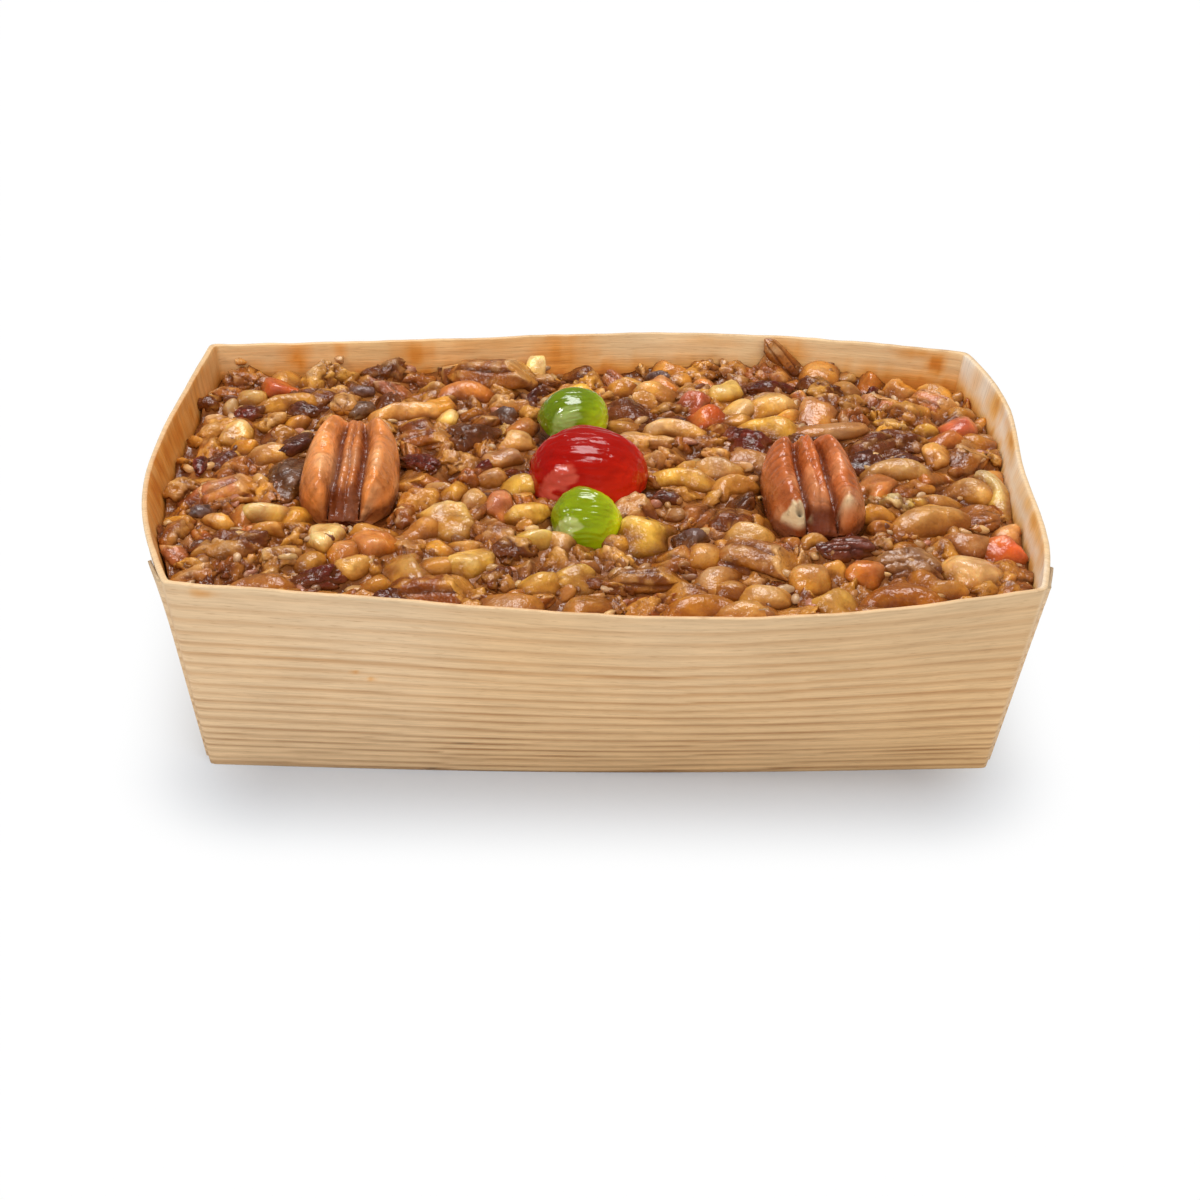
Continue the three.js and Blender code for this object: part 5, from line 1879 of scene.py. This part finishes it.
# ------------------------------------------------------------------ the cake
@dataclass
class Raster:
    """Heights over the case on square cells.

    Attributes:
        cell: edge of a cell in mm.
        half_x: half its length.
        half_y: half its width.
    """

    cell: float = 0.5
    half_x: float = 82.0
    half_y: float = 62.0

    def centres(self) -> tuple[Array, Array]:
        """Places of the cells' middles."""
        x = np.arange(-self.half_x, self.half_x, self.cell) + self.cell / 2.0
        y = np.arange(-self.half_y, self.half_y, self.cell) + self.cell / 2.0
        return np.meshgrid(x, y, indexing="ij")

    def cells(self, points: Array) -> tuple[Array, Array]:
        """The cell of each point.

        Args:
            points: places, (n, 3).

        Returns:
            The cells' numbers along X and along Y.
        """
        i = np.floor((points[:, 0] + self.half_x) / self.cell).astype(int)
        j = np.floor((points[:, 1] + self.half_y) / self.cell).astype(int)
        limit_i = int(2 * self.half_x / self.cell) - 1
        limit_j = int(2 * self.half_y / self.cell) - 1
        return np.clip(i, 0, limit_i), np.clip(j, 0, limit_j)

    def sample(self, raster: Array, x: Array, y: Array) -> Array:
        """Reads a raster between its cells, blending the four nearest evenly.

        Args:
            raster: values of the cells.
            x: X of the places to read.
            y: their Y.

        Returns:
            The values there.
        """
        fx = np.clip((x + self.half_x) / self.cell - 0.5, 0.0, raster.shape[0] - 1.001)
        fy = np.clip((y + self.half_y) / self.cell - 0.5, 0.0, raster.shape[1] - 1.001)
        i, j = fx.astype(int), fy.astype(int)
        s, t = fx - i, fy - j
        low = blend(raster[i, j], raster[i + 1, j], s)
        high = blend(raster[i, j + 1], raster[i + 1, j + 1], s)
        return blend(low, high, t)


@dataclass
class PlacedLump:
    """A lump with its surface in place.

    Attributes:
        lump: what it is and where it lies.
        surface: its own surface, before the shift into the frame.
        form: its broken faces and hollows.
    """

    lump: Lump
    surface: Surface
    form: Form


@dataclass
class NutTop:
    """The cake: its crumb and syrup, and the nuts and fruit that stand out of it.

    Attributes:
        plan: the case that it fills.
        shift: into the frame.
        finishes: a material for each kind, and for the syrup under None.
        crumb_share: the wall level where the crumb meets the wall.
        crown: how much higher the crumb is in the middle.
        stand: how far the tops are above the crumb.
        seed: of all random draws.
        raster: the cells on which heights are kept.
    """

    plan: CasePlan
    shift: Array
    finishes: dict[Kind | None, bpy.types.Material]
    crumb_share: float = 0.8
    crown: float = 2.6
    stand: float = 4.0
    seed: int = 20
    raster: Raster = field(default_factory=Raster)

    @property
    def crumb_level(self) -> float:
        """Share of the case's height where the crumb meets the walls."""
        return float(blend(self.plan.veneer / self.plan.height, 1.0, self.crumb_share))

    def crumb_height(self, x: Array, y: Array) -> Array:
        """Height of the crumb: level at the walls and crowned by 1 - max(x^2, y^2).

        Args:
            x: X of some places.
            y: their Y; both are taken as shares of half the rim.

        Returns:
            The heights in mm.
        """
        share_x, share_y = 2.0 * x / self.plan.rim_length, 2.0 * y / self.plan.rim_width
        fall = np.minimum(1.0, np.maximum(share_x**2, share_y**2))
        return self.plan.height * self.crumb_level + self.crown * (1.0 - fall)

    def top_height(self, x: Array, y: Array) -> Array:
        """Height that the nuts reach: above the crumb by `stand`, less in three hollows.

        The hollows are at the middle and the right of the back and at the right end; along
        the front the nuts stand higher.

        Args:
            x: X of some places.
            y: their Y.

        Returns:
            The heights in mm.
        """
        back_middle = bell(np.hypot((x - 2.0) / 17.0, (y - 50.0) / 9.0), 1.0)
        back_right = bell(np.hypot((x - 62.0) / 26.0, (y - 44.0) / 16.0), 1.0)
        right = bell(np.hypot((x - 78.0) / 10.0, (y + 4.0) / 40.0), 1.0)
        front = smooth(-36.0, -48.0, y)
        height = self.crumb_height(x, y) + self.stand
        return height - 2.6 * back_middle - 1.8 * back_right - 1.0 * right + 0.7 * front

    def hidden_by_topping(self, x: float, y: float, reach: float) -> bool:
        """Whether a lump would lie wholly or mostly under a large topping.

        Args:
            x: its X.
            y: its Y.
            reach: its mean half size, of which 1.2 mm may lie under.

        Returns:
            True if it does.
        """
        return any(
            t.footprint(x, y) < 1.0 + 2.0 * (reach - 1.2) / min(t.length, t.width) for t in TOPPINGS
        )

    def fill_lumps(self, random: Random) -> list[Lump]:
        """The lumps between the main ones, drawn in passes from large to small.

        A place is kept if it lies inside the walls, clear of the toppings, and no nearer to
        any other lump than a share of their two half sizes.

        Args:
            random: stream of draws.

        Returns:
            The new lumps.
        """
        taken = [(m.x, m.y, (m.length + m.width) / 4.0) for m in MAIN_LUMPS]
        kinds = list(FILL_KINDS)
        odds = np.array([FILL_KINDS[kind][0] for kind in kinds])
        new = []
        for least, most, tries, crowding in FILL_PASSES:
            spots = random.uniform([-80.0, -60.0], [80.0, 60.0], (tries, 2))
            room = self.plan.room(spots[:, 0], spots[:, 1])
            for (x, y), space in zip(spots, room):
                length = random.uniform(least, most)
                width = length * random.uniform(0.6, 0.88)
                reach = (length + width) / 4.0
                if space < reach * 0.6:
                    continue
                others = np.array(taken)
                gaps = np.hypot(others[:, 0] - x, others[:, 1] - y) - crowding * (others[:, 2] + reach)
                if gaps.min() < 0.0 or self.hidden_by_topping(x, y, reach):
                    continue
                kind = kinds[random.choice(len(kinds), p=odds / odds.sum())]
                tones = FILL_KINDS[kind][1]
                tone = tones[random.integers(len(tones))]
                sink = random.uniform(0.0, 1.3) + 0.14 * (8.0 - length)
                new.append(Lump(kind, x, y, length, width, random.uniform(0, 180), tone, -sink))
                taken.append((x, y, reach))
        return new

    def place(self, lump: Lump, random: Random) -> PlacedLump:
        """Shapes a lump and lays it in the top.

        Args:
            lump: what and where.
            random: stream of draws.

        Returns:
            The lump with its surface, still without paint.
        """
        creased = lump.kind in (Kind.WALNUT, Kind.PECAN, Kind.RAISIN)
        fine, plain = next(sizes for least, *sizes in LUMP_BALLS if lump.length > least)
        base = ball(*(fine if creased else plain))
        form = FORMS[lump.kind](base.points, random)
        low, high = form.points.min(axis=0), form.points.max(axis=0)
        unit = (form.points - (low + high) / 2.0) / ((high - low) / 2.0)
        height = lump.width * THICKNESS[lump.kind] * random.uniform(0.88, 1.1)
        is_main = lump in MAIN_LUMPS
        grown, tilt = (1.14, 10.0) if is_main else (1.0, 30.0)
        sized = unit * np.array([lump.length, lump.width, height]) / 2.0 * grown
        matrix = turn_matrix(2, lump.turn) @ turn_matrix(1, lump.lean + random.normal() * tilt)
        matrix = matrix @ turn_matrix(0, random.normal() * tilt)
        points = sized @ matrix.T
        top = float(self.top_height(lump.x, lump.y)) + lump.rise
        before = abs(lump.x) > 20.0 and lump.y < PECAN_RIGHT.at[1] - 9.0
        if not (is_main or before):
            near = min(t.footprint(lump.x, lump.y) for t in TOPPINGS if t is not CHERRY_RED)
            top -= 1.5 * float(smooth(1.5, 1.1, near))
        points += np.array([lump.x, lump.y, top - points[:, 2].max()])
        points = self.plan.keep_inside(points)
        return PlacedLump(lump, Surface(points, base.quads, base.triangles), form)

    def syrup_heights(self, placed: list[PlacedLump]) -> Array:
        """Height of crumb and syrup over the raster.

        The lumps' heights are blurred, and a share of that stands above the crumb, so that
        the syrup climbs their sides and fills narrow gaps more than wide ones. It stays
        under the toppings.

        Args:
            placed: the lumps that it lies round.

        Returns:
            Heights in mm.
        """
        x, y = self.raster.centres()
        base = self.crumb_height(x, y)
        over = np.minimum(0.0, self.top_height(x, y) - base - self.stand)
        base = base + over + 0.35 * lattice_noise(flat_points(x, y), 3.2, 51)
        tops = base.copy()
        for item in placed:
            i, j = self.raster.cells(item.surface.points)
            np.maximum.at(tops, (i, j), item.surface.points[:, 2])
        tops = np.maximum.reduce([np.roll(tops, (a, b), (0, 1)) for a, b in np.ndindex(2, 2)])
        heights = base + 0.76 * np.maximum(0.0, blur(tops, 2.0) - base) - 0.2
        heights += 0.16 * lattice_noise(flat_points(x, y), 1.1, 52)
        heights += 0.8 * smooth(2.4, 0.0, self.plan.room(x, y))
        for topping in TOPPINGS:
            inside = smooth(1.12, 0.9, topping.footprint(x, y))
            slope = (y - topping.at[1]) * math.tan(math.radians(topping.tip))
            under = np.minimum(heights, topping.at[2] + slope - 0.5)
            heights = np.where(inside > 0.0, blend(heights, under, inside), heights)
        return heights

    def paint(self, item: PlacedLump, syrup: Array, random: Random) -> None:
        """Colours a lump: its tone, darker grooves (partly its darker skin, partly painted shade), pale
        broken faces, syrup up its sides, and painted shade low down where it meets the syrup.

        Args:
            item: the lump.
            syrup: heights of the syrup.
            random: stream of draws.
        """
        points, form = item.surface.points, item.form
        tone = item.lump.tone.light() * random.uniform(0.82, 1.13)
        tone = tone * (1.0 + 0.025 * random.normal(size=3))
        rim = smooth(-30.0, -44.0, item.lump.y)
        tone = tone * (0.99 - rim * np.array([0.34, 0.44, 0.5]))
        patch = lattice_noise(points, 2.6, 61)
        veins = lattice_noise(points, 0.9, 62)
        skin = tone * (1.0 + (0.28 * patch + 0.26 * veins)[:, None] * np.array(MOTTLE_BY_CHANNEL))
        if item.lump.kind in (Kind.WALNUT, Kind.PECAN):
            pale = smooth(0.02, 0.38, lattice_noise(points, 1.5, 63))[:, None]
            skin = blend(skin, Tone.FLESH.light(), 0.42 * pale)
        inside = blend(skin, Tone.FLESH.light(), 0.7)
        skin = blend(skin, inside, form.flesh[:, None])
        # Painted shade, partly the darker skin there: grooves and creases are darkened.
        skin = skin * blend(1.0, np.array([0.42, 0.32, 0.26]), form.cavity[:, None])
        level = self.raster.sample(syrup, points[:, 0], points[:, 1])
        clear = points[:, 2] - level + 0.4 * patch
        coating = random.uniform(-0.1, 0.7) - 0.5 * (item.lump.kind is Kind.RAISIN)
        coating += 0.55 * smooth(-32.0, -46.0, item.lump.y)
        coated = np.clip(coating + 1.0 * smooth(2.4, 0.2, clear) + 0.5 * patch, 0.0, 1.15)[:, None]
        skin = skin * blend(1.0, SYRUP_FILTER, coated)
        # The film is darkest low down: partly the syrup's own colour, partly painted shade between the
        # lumps.
        film = blend(Tone.BURNT.light(), Tone.SYRUP.light(), smooth(-0.4, 0.9, clear)[:, None])
        flare = 1.0 + 0.14 * smooth(1.3, 0.0, points[:, 2] - level)[:, None]
        middle = np.array([item.lump.x, item.lump.y])
        points[:, :2] = (points[:, :2] - middle) * flare + middle
        item.surface.points = self.plan.keep_inside(points)
        covered = smooth(1.2, -0.2, clear)[:, None]
        tint = blend(skin, blend(film, skin, 0.25), covered)
        # Painted shade: darker where the lump sinks into the syrup between its neighbours.
        shade = smooth(1.7, 0.1, clear)[:, None]
        item.surface.paint["tint"] = tint * blend(1.0, np.array([0.66, 0.54, 0.41]), shade)

    def bits(self, syrup: Array, random: Random) -> Surface:
        """Small chopped bits strewn in the syrup, a third of each sunk in it.

        Args:
            syrup: heights of the syrup.
            random: stream of draws.

        Returns:
            All bits in one surface.
        """
        base = ball(4, 7)
        tones = [Tone.BEIGE, Tone.TAN, Tone.TOFFEE, Tone.WALNUT, Tone.CHESTNUT, Tone.HONEY, Tone.ROSE]
        made = []
        for x, y in random.uniform([-78.0, -58.0], [78.0, 58.0], (600, 2)):
            if self.plan.room(x, y) < 0.8 or self.hidden_by_topping(x, y, 0.2):
                continue
            size = random.uniform(0.8, 2.6)
            form = bit_form(base.points, random)
            scale = size / 2.0 * random.uniform([1.0, 0.6, 0.5], [1.5, 0.9, 0.8])
            matrix = turn_matrix(2, random.uniform(0, 360)) @ turn_matrix(0, random.uniform(-40, 40))
            points = (form.points * scale) @ matrix.T
            z = self.raster.sample(syrup, np.array([x]), np.array([y]))[0]
            points += np.array([x, y, z + 0.18 * size])
            points = self.plan.keep_inside(points)
            tone = tones[random.integers(len(tones))].light() * random.uniform(0.7, 1.05)
            tint = blend(tone, Tone.FLESH.light(), 0.3 * form.flesh[:, None])
            low = smooth(0.35, -0.3, (points[:, 2] - z) / size)[:, None]
            tint = blend(tint, Tone.SYRUP.light(), 0.75 * low)
            made.append(Surface(points + self.shift, base.quads, base.triangles, {"tint": tint}))
        return join(made)

    def core(self, syrup: Array, cells_x: int = 300, cells_y: int = 214) -> Surface:
        """The cake under its nuts, as one closed surface.

        The top is a grid stretched between the four walls: each point is the blend of the
        two side pairs less the blend of the four corners. The side is the ring of its edge
        carried down the case's inner face, and the floor closes on a pole.

        Args:
            syrup: heights of the syrup.
            cells_x: cells along the case.
            cells_y: cells across it.

        Returns:
            The closed surface.
        """
        plan = self.plan
        level = self.crumb_level
        inset = plan.veneer + 0.06
        a = np.linspace(0.0, 1.0, cells_x + 1)
        b = np.linspace(0.0, 1.0, cells_y + 1)
        front = plan.on_wall(Wall.FRONT, a, level, inset)[:, None, :2]
        back = plan.on_wall(Wall.BACK, a, level, inset)[:, None, :2]
        left = plan.on_wall(Wall.LEFT, b, level, inset)[None, :, :2]
        right = plan.on_wall(Wall.RIGHT, b, level, inset)[None, :, :2]
        s, t = a[:, None, None], b[None, :, None]
        corners = blend(blend(front[:1], front[-1:], s), blend(back[:1], back[-1:], s), t)
        flat = blend(front, back, t) + blend(left, right, s) - corners
        x, y = flat[..., 0], flat[..., 1]
        z = self.raster.sample(syrup, x, y)
        grid = flat_points(x, y, z)
        number = np.arange(grid.shape[0] * grid.shape[1]).reshape(grid.shape[:2])
        quads = np.stack([number[:-1, :-1], number[1:, :-1], number[1:, 1:], number[:-1, 1:]], -1)
        rim = np.concatenate([number[:-1, 0], number[-1, :-1], number[:0:-1, -1], number[0, :0:-1]])
        edge = grid.reshape(-1, 3)[rim]
        sides = []
        floor_level = (plan.veneer + plan.clearance) / plan.height
        for share in (0.03, 0.25, 0.5, 0.75, 1.0):
            at = blend(level, floor_level, share)
            ring = np.concatenate([
                plan.on_wall(Wall.FRONT, a[:-1], at, inset + plan.clearance),
                plan.on_wall(Wall.RIGHT, b[:-1], at, inset + plan.clearance),
                plan.on_wall(Wall.BACK, a[:0:-1], at, inset + plan.clearance),
                plan.on_wall(Wall.LEFT, b[:0:-1], at, inset + plan.clearance),
            ])
            ring[:, 2] = blend(edge[:, 2], plan.veneer + plan.clearance, share)
            sides.append(ring)
        count = len(rim)
        first = number.size
        chain = [rim] + [first + k * count + np.arange(count) for k in range(len(sides))]
        skirts = [
            np.stack([upper, lower, np.roll(lower, -1), np.roll(upper, -1)], -1)
            for upper, lower in zip(chain[:-1], chain[1:])
        ]
        pole = first + count * len(sides)
        low = chain[-1]
        fan = np.stack([np.full(count, pole), np.roll(low, -1), low], -1)
        points = np.concatenate(
            [grid.reshape(-1, 3)] + sides + [np.array([[0.0, 0.0, plan.veneer + plan.clearance]])]
        )
        tint = self.syrup_tint(points)
        return Surface(
            points + self.shift, np.concatenate([quads.reshape(-1, 4)] + skirts), fan, {"tint": tint}
        )

    def syrup_tint(self, points: Array) -> Array:
        """Colour of crumb and syrup: darkest in the depths, partly its own colour and partly painted shade
        between the lumps, caramel where it climbs.

        Args:
            points: places on its surface.

        Returns:
            Linear colours, (n, 3).
        """
        depth = points[:, 2] - self.crumb_height(points[:, 0], points[:, 1])
        cloud = lattice_noise(points, 6.0, 71)
        grains = lattice_noise(points, 0.9, 72)
        share = np.clip(smooth(0.0, 3.0, depth) + 0.25 * cloud + 0.2 * grains, 0.0, 1.0)[:, None]
        caramel = blend(Tone.SYRUP.light(), Tone.AMBER.light(), 0.25)
        # Partly painted shade: the lowest syrup is darkest.
        return blend(Tone.BURNT.light(), caramel, share)

    def build(self) -> list[bpy.types.Object]:
        """Makes the core and one piece for each kind, in the place of the CAD loaf.

        Returns:
            The pieces.
        """
        random = np.random.default_rng(self.seed)
        lumps = MAIN_LUMPS + self.fill_lumps(random)
        placed = [self.place(lump, random) for lump in lumps]
        syrup = self.syrup_heights(placed)
        for item in placed:
            self.paint(item, syrup, random)
            item.surface.points = item.surface.points + self.shift
        made = [self.core(syrup).piece("cake_core", self.finishes[None], "loaf", "nut_cake")]
        for kind in Kind:
            if kind is Kind.CRUMB:
                surface = self.bits(syrup, random)
            else:
                surface = join([item.surface for item in placed if item.lump.kind is kind])
            made.append(surface.piece(kind.value, self.finishes[kind], "loaf", "nut_cake"))
            faces = 2 * len(surface.quads) + len(surface.triangles)
            log.info("%s: %d triangles", kind.value, faces)
        log.info("%d lumps in the top", len(placed))
        return made


# ------------------------------------------------------------------ stage
@dataclass(frozen=True)
class SoftBox:
    """A large soft light.

    Attributes:
        name: its name.
        place: in metres.
        size: edge in metres.
        power: in watts.
        tone: linear colour.
        in_gloss: whether it is seen in glossy surfaces.
    """

    name: str
    place: tuple[float, float, float]
    size: float
    power: float
    tone: tuple[float, float, float] = (1.0, 1.0, 1.0)
    in_gloss: bool = True

    def build(self) -> None:
        """Hangs the light, aimed at the top of the cake."""
        data = bpy.data.lights.new(self.name, "AREA")
        data.shape = "DISK"
        data.size = self.size
        data.energy = self.power
        data.color = self.tone
        lamp = bpy.data.objects.new(self.name, data)
        lamp.location = self.place
        lamp.visible_glossy = self.in_gloss
        aim = Vector((0.0, 0.0, 0.03)) - Vector(self.place)
        lamp.rotation_euler = aim.to_track_quat("-Z", "Y").to_euler()
        bpy.context.scene.collection.objects.link(lamp)


@dataclass(frozen=True)
class Studio:
    """A white room: a pale floor, an even sky and soft boxes.

    Attributes:
        floor_half: half the floor's edge, in metres.
        unlit_half: half size of the block round which the floor is left dull, in metres.
        lit_to: distance from that block at which the floor glows fully, in metres.
        sky: strength of the sky as a light.
        reflected_sky: its strength seen in gloss.
        lights: the soft boxes.
    """

    floor_half: float = 3.0
    unlit_half: tuple[float, float, float] = (0.053, 0.045, 0.0)
    lit_to: float = 0.031
    sky: float = 0.42
    reflected_sky: float = 0.13
    lights: tuple[SoftBox, ...] = (
        SoftBox("left", (-0.5, -0.18, 0.5), 0.12, 1.1),
        SoftBox("front", (0.1, -0.55, 0.5), 0.5, 1.9, in_gloss=False),
        SoftBox("behind", (0.0, 0.4, 0.8), 0.45, 4.6),
    )

    def floor(self) -> None:
        """Lays the floor: white paper that glows away from the case and is left dull near it, so that the
        lamps' shadow shows there; the glow's ramp paints the soft edge of that shadow, and the paper's
        bluish colour takes out the warmth of light bounced off the case.
        """
        half = self.floor_half
        mesh = bpy.data.meshes.new("floor")
        corners = [(-half, -half, 0.0), (half, -half, 0.0), (half, half, 0.0), (-half, half, 0.0)]
        mesh.from_pydata(corners, [], [(0, 1, 2, 3)])
        paper, sheet = new_material("white_paper")
        place = sheet.add("ShaderNodeTexCoord").outputs["Object"]
        grain = sheet.noise(place, 400.0, 2.0)
        # Painted light: the paper is bluish grey, a cool cast that cancels the warm light bounced off the
        # case.
        white = sheet.mix(grain, (0.61, 0.66, 0.73, 1.0), (0.63, 0.68, 0.75, 1.0))
        plain = sheet.math("ABSOLUTE", place, vector=True)
        past = sheet.math("SUBTRACT", plain, self.unlit_half, vector=True)
        beyond = sheet.math("MAXIMUM", past, (0.0, 0.0, 0.0), vector=True)
        away = sheet.math("LENGTH", beyond, vector=True)
        smoothly = {"interpolation_type": "SMOOTHSTEP"}
        # Painted shadow: the glow fades in along this ramp, shaping the soft edge of the shadow round the
        # case.
        far = sheet.add("ShaderNodeMapRange", smoothly, Value=away, From_Min=0.0, From_Max=self.lit_to)
        black, lit = (0.0, 0.0, 0.0, 1.0), (1.0, 1.0, 1.0, 1.0)
        shader = sheet.add(
            "ShaderNodeBsdfPrincipled",
            Base_Color=sheet.mix(far.outputs["Result"], white, black),
            Roughness=0.9,
            Specular_IOR_Level=0.1,
            Emission_Color=sheet.mix(far.outputs["Result"], black, lit),
            Emission_Strength=1.0,
        )
        sheet.add("ShaderNodeOutputMaterial", Surface=shader.outputs["BSDF"])
        mesh.materials.append(paper)
        made = bpy.data.objects.new("floor", mesh)
        bpy.context.scene.collection.objects.link(made)

    def build(self) -> None:
        """Sets up floor, sky, lights and the way that colours are shown."""
        self.floor()
        world = bpy.data.worlds.new("white_sky")
        world.use_nodes = True
        sheet = NodeSheet(world.node_tree)
        path = sheet.add("ShaderNodeLightPath").outputs
        seen = sheet.math("MULTIPLY", path["Is Camera Ray"], 1.0 - self.sky)
        mirrored = sheet.math("MULTIPLY", path["Is Glossy Ray"], self.reflected_sky - self.sky)
        strength = sheet.math("ADD", sheet.math("ADD", seen, mirrored), self.sky)
        sky = sheet.add("ShaderNodeBackground", Color=(1.0, 1.0, 1.0, 1.0), Strength=strength)
        sheet.add("ShaderNodeOutputWorld", Surface=sky.outputs["Background"])
        bpy.context.scene.world = world
        for light in self.lights:
            light.build()
        bpy.context.scene.view_settings.view_transform = "Standard"


@dataclass(frozen=True)
class TableCamera:
    """The camera: how it looks down on the cake.

    Attributes:
        lens: focal length in mm, for a sensor of `sensor` mm.
        distance: to the target, in mm.
        elevation: above the table, in degrees.
        yaw: of the cake about +Z as the camera sees it, in degrees.
        roll: of the camera, in degrees.
        target_x: of the target, in mm, across the view.
        target_z: its height.
        sensor: width of the sensor, in mm.
    """

    lens: float = 90.0
    distance: float = 546.26
    elevation: float = 28.99
    yaw: float = 2.61
    roll: float = 1.69
    target_x: float = 1.0
    target_z: float = 9.44
    sensor: float = 36.0

    def build(self, shift: Array) -> None:
        """Places the camera.

        It is turned by the roll about its own line of sight, raised by the elevation about
        X and turned back by the yaw about Z; it stands off the target along its own Z.

        Args:
            shift: into the frame.
        """
        back_turn = turn_matrix(2, -self.yaw)
        target = back_turn @ np.array([self.target_x, 0.0, self.target_z])
        matrix = np.eye(4)
        matrix[:3, :3] = back_turn @ turn_matrix(0, 90.0 - self.elevation) @ turn_matrix(2, self.roll)
        matrix[:3, 3] = (target + self.distance * matrix[:3, 2] + shift) * MM
        data = bpy.data.cameras.new("camera")
        data.lens = self.lens
        data.sensor_width = self.sensor
        data.clip_start = 0.01
        camera = bpy.data.objects.new("camera", data)
        camera.matrix_world = Matrix(matrix.tolist())
        bpy.context.scene.collection.objects.link(camera)
        bpy.context.scene.camera = camera


# ------------------------------------------------------------------ putting it together
def frame_shift(plan: CasePlan) -> Array:
    """How far the plan's middle is from the frame's origin.

    The frame's origin is under the middle of the case's box, so the shift is the box's
    middle less the middle of the bowed rim.

    Args:
        plan: the case's plan.

    Returns:
        The shift in mm.
    """
    along = np.linspace(0.0, 1.0, 500)
    rim = np.concatenate([plan.on_wall(wall, along, np.array(1.0), 0.0) for wall in Wall])
    middle = (rim.min(axis=0) + rim.max(axis=0)) / 2.0
    low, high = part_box("case")
    shift = (np.array(low) + np.array(high)) / 2.0 / MM - middle
    shift[2] = 0.0
    return shift


def food_finishes(skin: bpy.types.NodeTree) -> dict[Kind | None, bpy.types.Material]:
    """A finish for each kind of piece in the top, and for the syrup under None.

    Args:
        skin: the shared skin group.

    Returns:
        The materials by kind.
    """
    nut = {"scatter": 0.12, "mottle": 0.38, "specks": 0.25, "depth": 0.34}
    finishes = {
        None: FoodFinish("syrup", skin, 0.2, 0.05, mottle=0.5, specks=0.4, fineness=700, depth=0.55),
        Kind.WALNUT: FoodFinish("walnut", skin, 0.24, 0.03, mottle=0.5, specks=0.5, depth=0.5),
        Kind.PECAN: FoodFinish("pecan_piece", skin, 0.24, 0.03, mottle=0.42, specks=0.5, depth=0.44),
        Kind.CASHEW: FoodFinish("cashew", skin, 0.24, 0.05, **nut),
        Kind.ROUND_NUT: FoodFinish("round_nut", skin, 0.24, 0.05, **nut),
        Kind.DICE: FoodFinish(
            "candied", skin, 0.2, 0.12, scatter=0.3, scatter_depth=2.0, specks=0.1, depth=0.3
        ),
        Kind.RAISIN: FoodFinish("raisin", skin, 0.2, 0.08, mottle=0.5, specks=0.25, depth=0.42),
        Kind.SLIVER: FoodFinish("almond", skin, 0.28, 0.05, scatter=0.1, specks=0.2, depth=0.3),
        Kind.CRUMB: FoodFinish("nut_bit", skin, 0.28, 0.05, mottle=0.4, depth=0.25),
    }
    return {kind: finish.material() for kind, finish in finishes.items()}


def topping_halves(skin: bpy.types.NodeTree, shift: Array) -> list[ToppingHalf]:
    """The two pecan halves and the three cherry halves.

    Args:
        skin: the shared skin group.
        shift: into the frame.

    Returns:
        The halves, not yet built.
    """
    pecan = FoodFinish(
        "pecan", skin, 0.25, 0.08, 0.12, mottle=0.32, specks=0.4, fineness=820, depth=0.34
    ).material()
    red = FoodFinish(
        "red_glace", skin, 0.15, 0.04, 0.05, 0.12, 2.0, mottle=0.08, specks=0.0, fineness=450,
        depth=0.22, shine=0.26,
    ).material()
    green = FoodFinish(
        "green_glace", skin, 0.14, 0.25, 0.05, 0.25, 2.5, mottle=0.12, specks=0.0, fineness=450,
        depth=0.16,
    ).material()
    return [
        PecanHalf(
            PECAN_LEFT, pecan, shift, "pecan", 5, 0.14,
            ridge=0.74, chipped=False, tone=Tone.PECAN, taper=0.84, wear_and_sheen=0.6,
        ),
        PecanHalf(
            PECAN_RIGHT, pecan, shift, "pecan", 9, 0.22,
            ridge=0.98, chipped=True, tone=Tone.PECAN_RED, taper=0.66, wear_and_sheen=0.3,
        ),
        CherryHalf(
            CHERRY_RED, red, shift, "cherry_red", 3, 0.12, Tone.CHERRY, Tone.CHERRY_GLOW,
            glow=(1.0, -0.4), sugar=(-0.44, -0.72), highlight_tone=Tone.CHERRY_SUGAR, highlight_size=0.27,
        ),
        CherryHalf(
            CHERRY_BACK, green, shift, "cherry_green", 6, 0.08, Tone.LEAF, Tone.LIME,
            glow=(1.0, -0.2), sugar=(-0.32, -0.66), highlight_tone=Tone.LEAF_SUGAR, highlight_size=0.34,
        ),
        CherryHalf(
            CHERRY_FRONT, green, shift, "cherry_green", 8, 0.1, Tone.MOSS, Tone.PALE_LIME,
            glow=(1.0, 0.1), sugar=(-0.52, -0.42), highlight_tone=Tone.LIME_SUGAR, highlight_size=0.36,
        ),
    ]


def main() -> None:
    """Builds everything in order and reports it."""
    logging.basicConfig(level=logging.INFO, format="%(message)s")
    plan = CasePlan()
    shift = frame_shift(plan)
    log.info("shift %s mm", np.round(shift, 3))
    TableCamera().build(shift)
    Studio().build()
    skin = food_skin_group()
    veneer = VeneerFinish(wood_fibre_group()).material()
    pieces = VeneerCase(plan, Grain(), shift, veneer).build()
    pieces += NutTop(plan, shift, food_finishes(skin)).build()
    pieces += [half.build() for half in topping_halves(skin, shift)]
    for piece in pieces:
        log.info("%s: %d points", piece.name, len(piece.data.vertices))


if __name__ == "__main__":
    main()
